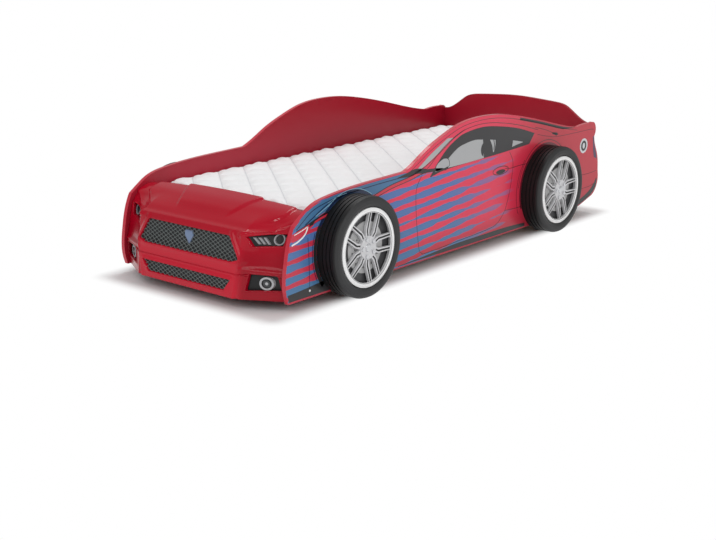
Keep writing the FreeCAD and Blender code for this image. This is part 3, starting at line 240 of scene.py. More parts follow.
# %% Helpers that turn grids of points into meshes
def grid_faces(rows, columns, around=False, closed=False):
    """Corner numbers of the four-sided faces of a rows x columns grid."""
    down = np.arange(rows if closed else rows - 1)
    along = np.arange(columns if around else columns - 1)
    a, b = np.meshgrid(down, along, indexing="ij")
    c, d = (a + 1) % rows, (b + 1) % columns
    return np.stack([a * columns + b, a * columns + d, c * columns + d, c * columns + b],
                    -1).reshape(-1, 4)


def grid(x, y, z):
    """Three arrays in mm, one for each axis, as a list of points in metres."""
    return np.stack(np.broadcast_arrays(x, y, z), -1).reshape(-1, 3) * MM


def build(name, points, faces, look, body="bed", smooth=True):
    """A mesh object from arrays of points in metres and of four-sided faces, riding on a body."""
    mesh = bpy.data.meshes.new(name)
    mesh.vertices.add(len(points))
    mesh.vertices.foreach_set("co", np.ascontiguousarray(points, np.float32).ravel())
    mesh.loops.add(faces.size)
    mesh.loops.foreach_set("vertex_index", faces.astype(np.int32).ravel())
    mesh.polygons.add(len(faces))
    mesh.polygons.foreach_set("loop_start", np.arange(0, faces.size, 4, dtype=np.int32))
    mesh.update(calc_edges=True)
    mesh.validate()
    mesh.shade_smooth() if smooth else mesh.shade_flat()
    made = bpy.data.objects.new(name, mesh)
    scene.collection.objects.link(made)
    mesh.materials.append(look)
    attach(made, body)
    return made


def merged(parts):
    """Several (points, faces) pairs as one pair."""
    points, faces, start = [], [], 0
    for own_points, own_faces in parts:
        points.append(own_points)
        faces.append(own_faces + start)
        start += len(own_points)
    return np.concatenate(points), np.concatenate(faces)


def through(knots, count):
    """count points, evenly spaced along the smooth line through the knots.

    Between two knots the line is the Catmull-Rom cubic, half of
    2p1 + (p2-p0)t + (2p0-5p1+4p2-p3)t^2 + (3p1-p0-3p2+p3)t^3, carried on straight past its ends.
    """
    knots = np.asarray(knots, float)
    padded = np.concatenate([2 * knots[:1] - knots[1:2], knots, 2 * knots[-1:] - knots[-2:-1]])
    t = np.linspace(0, 1, 24, endpoint=False)[:, None]
    p0, p1, p2, p3 = padded[:-3, None], padded[1:-2, None], padded[2:-1, None], padded[3:, None]
    fine = 0.5 * (2 * p1 + (p2 - p0) * t + (2 * p0 - 5 * p1 + 4 * p2 - p3) * t ** 2
                  + (3 * p1 - p0 - 3 * p2 + p3) * t ** 3)
    return even(np.concatenate([fine.reshape(-1, knots.shape[1]), knots[-1:]]), count)


def even(line, count):
    """count points at equal steps along a line of points."""
    line = np.asarray(line, float)
    lengths = np.linalg.norm(np.diff(line, axis=0), axis=1)
    gone = np.concatenate([[0], np.cumsum(lengths)])
    spots = np.linspace(0, gone[-1], count)
    return np.stack([np.interp(spots, gone, line[:, axis]) for axis in range(line.shape[1])], -1)


def rises(value, low, high):
    """Smooth step: 0 below low, 1 above high, 3t^2 - 2t^3 between."""
    t = np.clip((value - low) / (high - low), 0, 1)
    return t * t * (3 - 2 * t)


print("a grid of 3 x 4 points has", len(grid_faces(3, 4)), "faces")

# %% [markdown]
# The floor and the light. A product picture is lit by large soft lamps, so that the gloss shows
# broad pale bands and the shadows have no edge. Two narrow lamps draw the thin lights on the nose.
# The floor is white to the camera and to the reflections everywhere but close to the bed, where it
# is real and takes the shadow.

# %% The floor, the sky and the lamps
SHADOW_X, SHADOW_Y, SHADOW_FADE = 0.41, 1.06, 0.09
floor_look, graph, shader = material("studio_floor")
graph.join((0.93, 0.93, 0.935, 1), shader["Base Color"])
graph.join(0.7, shader["Roughness"])
x, y, z = graph.axes()
beside_x = graph.math("MAXIMUM", graph.minus(graph.away(x), SHADOW_X), 0.0)
beyond_y = graph.math("MAXIMUM", graph.minus(graph.away(y), SHADOW_Y), 0.0)
far = graph.step(graph.length(beside_x, beyond_y), 0.0, SHADOW_FADE)
rays = graph.node("ShaderNodeLightPath").outputs
seen = graph.math("MAXIMUM", rays["Is Camera Ray"],
                  graph.math("MAXIMUM", rays["Is Glossy Ray"], rays["Is Transmission Ray"]))
white = graph.node("ShaderNodeEmission", {"Color": (1, 1, 1, 1), "Strength": 1.0})
both = graph.node("ShaderNodeMixShader", {0: graph.times(far, seen), 2: white.outputs[0],
                                          1: shader["Base Color"].node.outputs[0]})
leave = next(n for n in floor_look.node_tree.nodes if n.type == "OUTPUT_MATERIAL")
graph.join(both.outputs[0], leave.inputs[0])

mesh = bpy.data.meshes.new("floor")
mesh.from_pydata([(-14, -14, 0), (14, -14, 0), (14, 14, 0), (-14, 14, 0)], [], [(0, 1, 2, 3)])
mesh.materials.append(floor_look)
floor = bpy.data.objects.new("floor", mesh)
scene.collection.objects.link(floor)

world = bpy.data.worlds.new("studio")
scene.world = world
world.use_nodes = True
world.node_tree.nodes.clear()
sky = Graph(world.node_tree)
rays = sky.node("ShaderNodeLightPath").outputs
seen = sky.math("MAXIMUM", rays["Is Camera Ray"], rays["Is Transmission Ray"])
soft = sky.node("ShaderNodeBackground", {"Color": (1, 1, 1, 1), "Strength": 0.5})
plain = sky.node("ShaderNodeBackground", {"Color": (1, 1, 1, 1), "Strength": 1.0})
chosen = sky.node("ShaderNodeMixShader", {0: seen, 1: soft.outputs[0], 2: plain.outputs[0]})
sky.node("ShaderNodeOutputWorld", {0: chosen.outputs[0]})


def lamp(name, place, target, width, height, power):
    """A soft rectangular lamp that looks at a target point."""
    light = bpy.data.lights.new(name, "AREA")
    light.shape, light.size, light.size_y, light.energy = "RECTANGLE", width, height, power
    made = bpy.data.objects.new(name, light)
    made.location = place
    made.rotation_mode = "QUATERNION"
    made.rotation_quaternion = (Vector(target) - Vector(place)).to_track_quat("-Z", "Y")
    scene.collection.objects.link(made)


lamp("overhead_lamp", (-0.8, 0.9, 3.3), (0, -0.1, 0.2), 1.5, 1.9, 44)
lamp("front_lamp", (1.2, -4.2, 2.2), (0, -0.8, 0.2), 2.4, 1.6, 26)
lamp("side_lamp", (4.2, 0.2, 1.9), (0.4, 0.0, 0.25), 3.2, 1.6, 30)
lamp("front_strip", (0.9, -3.0, 2.5), (0.1, -0.95, 0.25), 1.8, 0.10, 7)
lamp("left_strip", (2.6, -2.2, 1.5), (0.3, -0.8, 0.25), 0.10, 1.4, 6)

# %% [markdown]
# The finishes of the wooden frame. Slats, ledgers and posts are planed pine: pale wood whose grain
# runs along the piece as stretched noise, darker in the late rings. The boards that show only their
# plain faces are melamine: a deep red, satin, with a faint grain in the shine. Their red carries
# painted light: brighter near the top edge and greyer towards the front.

# %% Pine, red board, steel and zinc
def pine_look(name, stretch):
    """Wood whose grain runs along one axis: noise squeezed along it, then cut into rings."""
    def paint(graph):
        place = graph.place(stretch)
        warp = graph.noise(place, 3.0, 3.0)
        rings = graph.node("ShaderNodeTexWave", {"Vector": place, "Scale": 7.0, "Distortion": 6.0,
                                                 "Detail": 3.0}, bands_direction="X").outputs[1]
        pale = graph.mix(graph.times(rings, 0.55), srgb(226, 196, 150), srgb(196, 152, 100))
        return graph.mix(graph.times(warp, 0.35), pale, srgb(214, 178, 128))
    return finish(name, None, 0.55, drift=0.1, grain=0.15, scale=400, paint=paint)


pine_across = pine_look("pine_along_x", (0.6, 9, 9))
pine_along = pine_look("pine_along_y", (9, 0.6, 9))
pine_up = pine_look("pine_upright", (9, 9, 0.6))


def inner_red_painted_light(graph):
    """Deep red with painted light: brighter near the top edge, and greyer towards the front, where
    the board catches the light.
    """
    x, y, z = graph.axes()
    # painted light: the red changes with height and grows greyer towards the front
    high = graph.step(z, 0.34, 0.52)
    forward = graph.step(y, 0.3, -0.6)
    low = graph.mix(forward, srgb(150, 14, 36), srgb(170, 32, 52))
    return graph.mix(high, low, srgb(164, 8, 34))


red_board = finish("red_board", None, 0.38, drift=0.1, grain=0.03, scale=700, paint=inner_red_painted_light)
steel = finish("bright_steel", srgb(178, 180, 184), 0.3, drift=0.1, metal=1.0, grain=0.05)
zinc = finish("zinc", srgb(150, 152, 156), 0.42, drift=0.15, metal=1.0, grain=0.1)
foam = finish("foam", srgb(240, 226, 176), 0.9, drift=0.1, grain=0.5, scale=500)
black_board = finish("black_board", srgb(62, 62, 64), 0.45, drift=0.15, grain=0.08)
edge_red = finish("edge_band_red", srgb(196, 36, 58), 0.3, drift=0.08, grain=0.03, coat=0.3)
print("frame finishes:", len(bpy.data.materials))

# %% [markdown]
# The wheels are mouldings in two or three colours of paint: a black tyre with a greyer outer wall,
# its tread darker still as painted shade, silver double spokes with a black groove in each, a
# dark ground behind them and a white ring. The
# paint could be laid on with a mask drawn by hand. Here it follows the wheel's own geometry: the
# distance from the axle, and how far a point lies along and beside the nearest pair of spokes. The
# fog lamps are painted the same way, by distance from their middle, and the head lamps are plain.

# %% The paint of wheels and lamps
AXLES_Y, HUB_Z, FOG_X, FOG_Z = (-0.6665, 0.6085), 0.1835, 0.341, 0.100
FIFTH = math.radians(72)  # from one double spoke to the next
SPOKE_BACK = 0.4835  # |x| of the spokes' rear faces: the ground behind them is painted dark
GROOVE_IN, GROOVE_OUT, GROOVE_HALF = 0.043, 0.127, 0.0034
RING_LINE = (0.1262, 0.1286)


def rubber_painted_shade(graph):
    """Painted shade: near black on the tread, which stands in its own shade, and dark grey on the
    outer wall.
    """
    x, y, z = graph.axes()
    wall = graph.step(graph.away(x), 0.496, 0.503)
    # painted shade: the tread is near black, the outer wall keeps a dark grey
    return graph.mix(wall, srgb(17, 17, 18), srgb(50, 50, 51))


def about_axle(graph):
    """|x|, distance from the nearest axle, and place along and across the nearest double spoke.

    The angle about the axle is folded into 72 degree parts: fold = angle - 72 * round(angle / 72).
    Wheels on the left are turned round, so their Y is counted backwards.
    """
    x, y, z = graph.axes()
    rear = graph.math("GREATER_THAN", y, 0.0)
    axle = graph.math("MULTIPLY_ADD", rear, AXLES_Y[1] - AXLES_Y[0], AXLES_Y[0])
    along = graph.times(graph.minus(y, axle), graph.math("SIGN", x))
    up = graph.minus(z, HUB_Z)
    radius = graph.length(along, up)
    angle = graph.math("ARCTAN2", up, along)
    part = graph.math("ROUND", graph.math("DIVIDE", angle, FIFTH))
    fold = graph.math("MULTIPLY_ADD", part, -FIFTH, angle)
    outward = graph.times(radius, graph.math("COSINE", fold))
    aside = graph.away(graph.times(radius, graph.math("SINE", fold)))
    return graph.away(x), radius, outward, aside


def spokes_paint(graph):
    """Silver spokes with a black groove along their middle, and dark grey behind them.

    The groove's middle is 12.5 mm aside at the hub, and 22.5, then 24.7 mm further out.
    """
    depth, radius, outward, aside = about_axle(graph)
    middle = graph.math("MULTIPLY_ADD", graph.step(outward, 0.034, 0.062), 0.010, 0.0125)
    middle = graph.math("MULTIPLY_ADD", graph.step(outward, 0.062, 0.134), 0.0022, middle)
    groove = graph.math("LESS_THAN", graph.away(graph.minus(aside, middle)), GROOVE_HALF)
    groove = graph.times(groove, graph.math("GREATER_THAN", radius, GROOVE_IN))
    groove = graph.times(groove, graph.math("LESS_THAN", radius, GROOVE_OUT))
    spoke = graph.mix(groove, srgb(212, 212, 214), srgb(24, 24, 25))
    return graph.mix(graph.math("GREATER_THAN", depth, SPOKE_BACK), srgb(72, 72, 74), spoke)


def ring_paint(graph):
    """A white ring with a thin grey line near its inner edge."""
    depth, radius, outward, aside = about_axle(graph)
    line = graph.times(graph.math("GREATER_THAN", radius, RING_LINE[0]),
                       graph.math("LESS_THAN", radius, RING_LINE[1]))
    return graph.mix(line, srgb(246, 246, 246), srgb(120, 120, 122))


def fog_paint(graph):
    """A bright ring, a dark glass and a bright bulb, by distance from the lamp's axis."""
    x, y, z = graph.axes()
    radius = graph.length(graph.minus(graph.away(x), FOG_X), graph.minus(z, FOG_Z))
    rim = graph.math("GREATER_THAN", radius, 0.0165)
    bulb = graph.math("LESS_THAN", radius, 0.005)
    return graph.mix(graph.math("MAXIMUM", rim, bulb), srgb(62, 64, 66), srgb(176, 178, 181))


tyre_black = finish("tyre_black", None, 0.5, drift=0.12, spread=0.1, grain=0.15, scale=600,
                    paint=rubber_painted_shade)
silver = finish("silver_plastic", srgb(206, 207, 210), 0.28, drift=0.06, metal=0.75, grain=0.03)
disc_grey = finish("disc_grey", srgb(176, 176, 176), 0.45, drift=0.1, metal=0.2, grain=0.1)
rim_plastic = finish("rim_plastic", None, 0.35, drift=0.05, grain=0.03, metal=0.1,
                     paint=spokes_paint)
white_ring = finish("white_ring", None, 0.25, drift=0.03, grain=0.02, coat=0.4, paint=ring_paint)
lamp_grey = finish("lamp_grey", srgb(150, 150, 153), 0.35, drift=0.06, metal=0.3, grain=0.03)
badge_blue = finish("badge_blue_grey", srgb(116, 134, 164), 0.4, drift=0.2, metal=0.2, grain=0.05)
fog_silver = finish("fog_silver", None, 0.3, drift=0.05, grain=0.03, coat=0.3, paint=fog_paint)
black_plastic = finish("black_plastic", srgb(30, 31, 32), 0.4, drift=0.15, grain=0.1)
print("finishes:", len(bpy.data.materials))

# %% [markdown]
# The printed sides. On the real bed the doors, windows and stripes are printed on the board under a
# clear satin film. An image could carry them, but it would blur close up. The soft parts of the
# picture, its fading reds and its blue brush strokes, are a formula on the board's own Y and Z. The
# strokes lie 41.5 mm apart and climb a little towards the rear. A noise that is read at each
# stroke's own number makes it swell, thin and end in points, and a finer one makes its edges
# ragged. Crisp shapes come later, as thin films on the board.

# %% The striped print
OUTER_FACE = 0.4206  # |x| beyond which a side board shows its printed face
STROKE_STEP, STROKE_SLOPE = 0.0415, 0.07  # metres, and rise for each metre along the car
WIDEST, SOFT = 0.33, 0.03  # half a stroke's width and its edge, as shares of STROKE_STEP


def car_print(graph):
    """Reds that change along the car, and blue where |fract(level) - 0.5| < half.

    level = (z - 0.07 y) / 41.5 mm, and its whole part is the stroke's number. half runs from 0.31
    in front to 0.14 at the rear, plus both noises.
    """
    x, y, z = graph.axes()
    red = graph.mix(graph.step(y, 0.18, 0.62), srgb(228, 54, 86), srgb(196, 44, 62))
    red = graph.mix(graph.step(z, 0.16, 0.03), red, srgb(180, 40, 60))
    red = graph.mix(graph.step(y, -0.46, -0.60), red, srgb(204, 52, 76))
    level = graph.math("DIVIDE", graph.math("MULTIPLY_ADD", y, -STROKE_SLOPE, z), STROKE_STEP)
    number = graph.math("FLOOR", level)
    off_middle = graph.away(graph.minus(graph.math("FRACT", level), 0.5))
    spot = graph.point(graph.times(number, 3.71), graph.times(y, 7.5), 0.0)
    swells = graph.minus(graph.noise(spot, 1.0, 1.0), 0.5)
    spot = graph.point(graph.times(level, 2.2), graph.times(y, 32.0), 4.0)
    ragged = graph.minus(graph.noise(spot, 1.0, 1.0), 0.5)
    half = graph.math("MULTIPLY_ADD", graph.step(y, -0.36, 0.34), -0.17, 0.31)
    half = graph.math("MULTIPLY_ADD", swells, 0.85, half)
    half = graph.math("MULTIPLY_ADD", ragged, 0.07, graph.math("MINIMUM", half, WIDEST))
    stroke = graph.step(off_middle, graph.math("ADD", half, SOFT), graph.minus(half, SOFT))
    heights = graph.times(graph.step(z, 0.372, 0.368), graph.step(z, 0.0405, 0.0415))
    ends = graph.times(graph.step(y, 0.385, 0.30), heights)
    fade = graph.math("MULTIPLY_ADD", graph.step(y, -0.1, 0.38), -0.5, 1.0)
    blue = graph.mix(graph.step(z, 0.05, 0.30), srgb(74, 122, 166), srgb(84, 116, 174))
    picture = graph.mix(graph.times(stroke, graph.times(ends, fade)), red, blue)
    outside = graph.math("GREATER_THAN", graph.away(x), OUTER_FACE)
    return graph.mix(outside, inner_red_painted_light(graph), picture)


printed_board = finish("printed_board", None, 0.32, drift=0.04, grain=0.02, scale=700, coat=0.15,
                       coat_rough=0.12, paint=car_print)
LOOKS = {
    "side_panel": printed_board, "rear_panel": red_board, "foot_board": red_board,
    "edge_band": edge_red, "wheel_disc": black_board, "tyre": tyre_black, "rim": rim_plastic,
    "trim_ring": white_ring, "brake_disc": disc_grey, "centre_caps": silver, "lug_bolts": silver,
    "headlamp_bars": lamp_grey, "headlamp_rings": lamp_grey, "headlamp_tray": black_plastic,
    "fog_pod": black_plastic, "fog_lamps": fog_silver, "grille_mesh": black_plastic,
    "badge_blank": badge_blue, "slats": pine_across, "ledger": pine_along, "leg_posts": pine_up,
    "centre_beam": pine_along, "centre_legs": pine_up, "beam_angles": zinc, "cam_locks": zinc,
    "cam_bolts": steel, "wood_dowels": pine_across, "floor_glides": black_plastic,
    "mattress_core": foam,
}
for name, node in nodes.items():
    look = next((LOOKS[start] for start in LOOKS if name.startswith(start)), steel)
    if not node.material_slots:
        node.data.materials.append(look)
    for slot in node.material_slots:
        slot.material = look
print("dressed", len(nodes), "construction pieces")

# %% [markdown]
# The bumper is one glossy moulding: lip, face, lamps and the front of the hood. A box cut and
# bevelled could stand for it, but its surface turns in two directions at once. So its section is
# given at 14 heights, in the middle of the car and at its sides, and between the two it sweeps back
# along a curve. The surface takes those rows for every x and draws a smooth line through them.

# %% The bumper's rows and sweep
NOSE, HALF, FLAT = -1066.5, 404.7, 258.0  # mm, the last two are |x|
ROWS = np.array([  # centre Y from the nose, centre Z, side Y from the nose, side Z
    (24, 40, 104, 40), (2, 40, 84, 40), (0, 50, 81, 50), (1, 64, 80, 64), (6, 125, 77, 125),
    (9, 135, 76, 135), (23, 262, 106, 262), (32, 272, 111, 272), (50, 279, 117, 280),
    (75, 295, 127, 295), (115, 317, 142, 316), (150, 333, 167, 330), (192, 345, 187, 336),
    (204, 347, 201, 337)], float)
KINDS = np.array([0] * 6 + [1] * 4 + [2] * 4)  # face, lamp, hood


def sweeps(x):
    """Share of the way from the centre row to the side row, for each row kind, at every x.

    With s = (|x| - 258) / (404.7 - 258), a face row gives s, a lamp row sin(s pi / 2) ^ 0.9, and a
    hood row (|x| / 404.7) squared. Face and lamp rows stay flat up to |x| = 258.
    """
    s = np.clip((np.abs(x) - FLAT) / (HALF - FLAT), 0, 1)
    return np.stack([s, np.sin(s * math.pi / 2) ** 0.9, (np.abs(x) / HALF) ** 2])


X = np.linspace(-HALF, HALF, 325)
share = sweeps(X)[KINDS]
knots_y = NOSE + ROWS[:, :1] * (1 - share) + ROWS[:, 2:3] * share
knots_z = ROWS[:, 1:2] * (1 - share) + ROWS[:, 3:4] * share
lines = through(np.concatenate([knots_y, knots_z], 1), 230)
face_y, face_z = lines[:, :len(X)].copy(), lines[:, len(X):].copy()
face_x = np.broadcast_to(X, face_y.shape).copy()
print("bumper grid", face_x.shape)

# %% [markdown]
# Creases. The nose has a raised middle of the hood, which narrows towards the grille, a chin under
# it, and brows over the lamps. They could be pushed up by hand with a soft brush. Here each is a
# height in mm that is added where a smooth step or a ridge is near 1.

# %% The creases of the nose
BULGE, HOOD_STEP, CHIN, BROW, CREASE = 8.0, 7.0, 9.0, 6.0, 5.0  # mm
side_x = np.abs(face_x)
on_hood = rises(face_y, NOSE + 62, NOSE + 110) * rises(face_z, 285, 310)
half_bulge = np.interp(face_y, (NOSE + 60, NOSE + 200), (118, 187))
bulge = rises(half_bulge - side_x, -7, 7)
outer_crease = np.interp(face_y, (NOSE + 40, NOSE + 145), (225, 342))
outside = rises(side_x, outer_crease - 4, outer_crease + 12)
face_z += (BULGE * bulge - HOOD_STEP * outside) * on_hood


def ridge(start, end, width=8):
    """1 along the line from start to end in X and Z, falling off as exp(-(distance/width)^2)."""
    run = np.subtract(end, start)
    x, z = side_x - start[0], face_z - start[1]
    t = np.clip((x * run[0] + z * run[1]) / (run @ run), 0, 1)
    return np.exp(-(np.hypot(x - t * run[0], z - t * run[1]) / width) ** 2)


low_front = rises(NOSE + 140 - face_y, 0, 30)
chin_edge = np.interp(face_z, (45, 170), (238, 264))
chin = rises(chin_edge - side_x, -6, 6) * rises(185 - face_z, 0, 25)
face_y -= CHIN * chin * low_front
brow = np.maximum(ridge((249, 262), (336, 277)), ridge((336, 277), (404, 312)))
face_y -= BROW * brow * rises(NOSE + 190 - face_y, 0, 30)
face_y -= CREASE * ridge((262, 145), (405, 141)) * low_front
face_y -= CREASE * ridge((212, 262), (264, 172), 9) * low_front
print("the creases reach", round(float(NOSE - face_y.min()), 1), "mm past the plain nose")

# %% [markdown]
# The openings. Cutting them with a Boolean would leave ragged triangles in a curved skin. Instead
# each outline is a polygon in X and Z, whose corners are rounded by sliding an average along it.
# The skin swells a little towards each outline. Then the grid points nearest to it move onto it, so
# that the hole's edge is clean, and the faces inside go.

# %% Openings in the bumper
def rounded(corners, blur=9.0, count=240):
    """A closed outline with soft corners: each point is the average over blur mm to each side."""
    closed = np.concatenate([corners, corners[:1]]).astype(float)
    line = even(closed, count + 1)[:-1]
    length = np.linalg.norm(np.diff(closed, axis=0), axis=1).sum()
    reach = max(1, int(blur / length * count))
    return np.mean([np.roll(line, k, axis=0) for k in range(-reach, reach + 1)], axis=0)


def mirror(corners):
    """The same corners on the car's other side."""
    return [(-x, z) for x, z in corners][::-1]


def both_ways(points):
    """A right half outline, from low to high, closed with its mirror image."""
    return list(points) + mirror(points)


LAMP = [(266, 257), (288, 221), (384, 228), (394, 271), (330, 265)]
POD = [(289, 133), (277, 72), (395, 78), (384, 132)]
OPENINGS = {
    "upper": rounded(both_ways([(220, 165), (254, 177), (206, 254)]), 8, 360),
    "lower": rounded(both_ways([(193, 63), (227, 106)]), 5, 360),
    "lamp_left": rounded(LAMP, 5), "lamp_right": rounded(mirror(LAMP), 5),
    "pod_left": rounded(POD, 6), "pod_right": rounded(mirror(POD), 6),
}


def outline_distance(x, z, outline):
    """Distance from every (x, z) to the outline, minus inside, and the nearest point on it.

    Each straight bit of the outline is taken in turn, for all the points at once. A point is inside
    where a level line from it crosses an odd number of bits.
    """
    start, end = outline, np.roll(outline, -1, axis=0)
    run = end - start
    best = np.full(x.shape, 1e9)
    near = np.zeros(x.shape + (2,))
    inside = np.zeros(x.shape, bool)
    for (ax, az), (dx, dz), (bx, bz) in zip(start, run, end):
        t = np.clip(((x - ax) * dx + (z - az) * dz) / (dx * dx + dz * dz), 0, 1)
        px, pz = ax + t * dx, az + t * dz
        gap = np.hypot(x - px, z - pz)
        closer = gap < best
        best = np.where(closer, gap, best)
        near = np.where(closer[..., None], np.stack([px, pz], -1), near)
        if az != bz:
            inside ^= ((az > z) != (bz > z)) & (x < (bx - ax) * (z - az) / (bz - az) + ax)
    return np.where(inside, -best, best), near


SNAP, SWELL_REACH = 1.5, 12  # mm
KEEP_FROM = 22  # the rows above the turned-in lip, where height only rises
front = face_y < NOSE + 135
swell = 0
for name, outline in OPENINGS.items():
    gap, near = outline_distance(face_x, face_z, outline)
    height = 4.0 if name == "upper" else 2.0
    swell = swell + height * np.exp(-(np.clip(gap, 0, None) / SWELL_REACH) ** 2)
face_y -= swell * front * rises(face_y, NOSE + 400, NOSE + 60)
plain_y, plain_z = face_y[KEEP_FROM:].copy(), np.maximum.accumulate(face_z[KEEP_FROM:], 0)
slope_x = np.gradient(face_y, axis=1) / np.gradient(face_x, axis=1)
slope_z = np.gradient(face_y, axis=0) / np.maximum(np.gradient(face_z, axis=0), 0.3)
holes = np.zeros(face_x.shape, bool)
for outline in OPENINGS.values():
    gap, near = outline_distance(face_x, face_z, outline)
    snap = (np.abs(gap) < SNAP) & front
    shift_x, shift_z = near[..., 0] - face_x, near[..., 1] - face_z
    face_y = np.where(snap, face_y + slope_x * shift_x + slope_z * shift_z, face_y)
    face_x, face_z = np.where(snap, near[..., 0], face_x), np.where(snap, near[..., 1], face_z)
    holes |= (gap < 0.01) & ~snap & front
print("grid points inside the openings:", int(holes.sum()))

# %% [markdown]
# The bumper's skin: the grid without the faces inside the openings, given a 3 mm wall by the
# Solidify modifier, which grows it inwards only. The paint is a deep red lacquered finish: a clear
# coat over the base gives the dark reflections and the pale pink bands along the creases. The base
# carries painted light: brighter on the face between the grilles, darker at the sides below the
# lamps, and a painted pink reflection on the hood's flat top.

# %% The bumper's skin
def lacquer_painted_light(graph):
    """Red with painted light: brighter on the face between the grilles, darker at the sides below
    the lamps, and pinker on the hood's flat top as a painted reflection.
    """
    x, y, z = graph.axes()
    # painted light and shade: the face between the grilles is lit brighter, the sides below the
    # lamps darker
    side = graph.step(graph.away(x), 0.235, 0.275)
    face = graph.mix(side, srgb(198, 20, 46), srgb(156, 2, 28))
    base = graph.mix(graph.step(z, 0.17, 0.26), face, srgb(176, 6, 34))
    # painted reflection: the hood's flat top turns pinker
    return graph.mix(graph.step(z, 0.315, 0.345), base, srgb(176, 26, 46))


red_gloss = finish("red_lacquer", None, 0.24, drift=0.05, spread=0.04, grain=0.012, scale=500,
                   coat=0.36, coat_rough=0.05, shine=0.06, paint=lacquer_painted_light)
WALL, LEDGE_Z = 0.003, 308.0
rows, columns = face_x.shape
quads = grid_faces(rows, columns)
quads = quads[~holes.ravel()[quads].any(1)]
ledge_y = np.stack([face_y[-1], face_y[-1] + 1, np.full(columns, -860.0), np.full(columns, -801.5)])
ledge_z = np.stack([face_z[-1], *[np.full(columns, LEDGE_Z)] * 3])
bumper = build("bumper_skin", *merged([(grid(face_x, face_y, face_z), quads),
                                       (grid(X, ledge_y, ledge_z), grid_faces(4, columns))]),
               red_gloss)
normals = np.zeros(len(bumper.data.polygons) * 3, np.float32)
bumper.data.polygons.foreach_get("normal", normals)
if (normals.reshape(-1, 3) @ np.array((0, -1, 0.3))).sum() < 0:
    bumper.data.flip_normals()
solid = bumper.modifiers.new("wall", "SOLIDIFY")
solid.thickness, solid.offset, solid.use_even_offset = WALL, -1.0, False
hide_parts("bumper_shell")
print("bumper skin:", len(bumper.data.polygons), "faces")

# %% [markdown]
# The lips. The edge of a moulded opening is not sharp: it swells outwards, turns over and runs back
# into the hole. A Bevel would round it but not raise it, so a small profile is carried round each
# outline, at the depth of the face there.

# %% The lips around the openings
LIP_PROFILE = np.array([(5.0, 1.2), (3.8, -0.4), (2.2, -1.5), (0.4, -1.7), (-0.9, -0.8),
                        (-1.4, 1.2), (-1.4, 6.0), (-1.0, 12.0)])  # across the edge, into the car


def front_y(x, z):
    """Y of the bumper's face at any (x, z) of its front, read between the grid's points."""
    column = np.clip((np.asarray(x) + HALF) / (2 * HALF) * (len(X) - 1), 0, len(X) - 1.001)
    left = column.astype(int)
    part = column - left
    found = 0
    for side, weight in ((left, 1 - part), (left + 1, part)):
        heights, depths = plain_z[:, side], plain_y[:, side]
        row = np.clip((heights < z).sum(0) - 1, 0, len(heights) - 2)
        spot = np.arange(len(row))
        z0, z1 = heights[row, spot], heights[row + 1, spot]
        t = np.clip((z - z0) / np.maximum(z1 - z0, 0.01), 0, 1)
        found = found + weight * (depths[row, spot] * (1 - t) + depths[row + 1, spot] * t)
    return found


def lip(outline, profile):
    """A profile carried round an outline: point = edge + a * outward + b * inward depth."""
    step = np.roll(outline, -1, 0) - np.roll(outline, 1, 0)
    side = np.stack([step[:, 1], -step[:, 0]], -1) / np.linalg.norm(step, axis=1)[:, None]
    area = 0.5 * np.sum(outline[:, 0] * np.roll(outline[:, 1], -1)
                        - np.roll(outline[:, 0], -1) * outline[:, 1])
    side *= np.sign(area)
    a, b = profile.T[:, :, None]
    x = outline[:, 0] + a * side[:, 0]
    z = outline[:, 1] + a * side[:, 1]
    y = np.stack([front_y(px, pz) for px, pz in zip(x, z)]) + b
    return grid(x, y, z), grid_faces(*x.shape, around=True)


lip_parts = [lip(outline, LIP_PROFILE) for outline in OPENINGS.values()]
lips = build("bumper_lips", *merged(lip_parts), red_gloss)
print("lips:", len(lips.data.polygons), "faces")

# %% [markdown]
# The grilles. Behind each opening lies an open net of wavy bars, as in pressed metal: neighbouring
# bars bend against each other and meet, which leaves rows of small lozenges. An image with holes
# would be flat. Here one bar is a thin tube whose height follows a cosine, and the next one follows
# the same cosine turned over. A dark sheet lies 11 mm behind the face.

# %% The nets of the grilles
PITCH, WAVE, WIRE = 7.4, 24.0, 1.7  # mm
NET_DEPTH, SHEET_DEPTH = 6.2, 11.0  # mm behind the face


def grille_bars(outline):
    """Wavy tubes: z = level + 0.43 pitch * c(x), y = face + depth, with c = cos(2 pi x / wave).

    Neighbours have opposite signs, and each bar is cut to the span of the outline at its level.
    """
    parts = []
    turn = np.arange(6) * np.pi / 3
    ring_y, ring_z = WIRE * np.cos(turn), WIRE * 0.8 * np.sin(turn)
    low, high = outline, np.roll(outline, -1, 0)
    levels = np.arange(outline[:, 1].min() + PITCH * 0.6, outline[:, 1].max() - PITCH * 0.2, PITCH)
    for number, level in enumerate(levels):
        crossing = (low[:, 1] > level) != (high[:, 1] > level)
        t = (level - low[crossing, 1]) / (high[crossing, 1] - low[crossing, 1])
        edge = low[crossing, 0] + t * (high[crossing, 0] - low[crossing, 0])
        x = np.linspace(edge.min() + 1, edge.max() - 1, int((edge.max() - edge.min()) / 2.2))
        z = level + (-1) ** number * PITCH * 0.43 * np.cos(2 * np.pi * x / WAVE)
        y = front_y(x, z) + NET_DEPTH
        parts.append((grid(x[:, None], y[:, None] + ring_y, z[:, None] + ring_z),
                      grid_faces(len(x), 6, around=True)[:, ::-1]))
    return parts


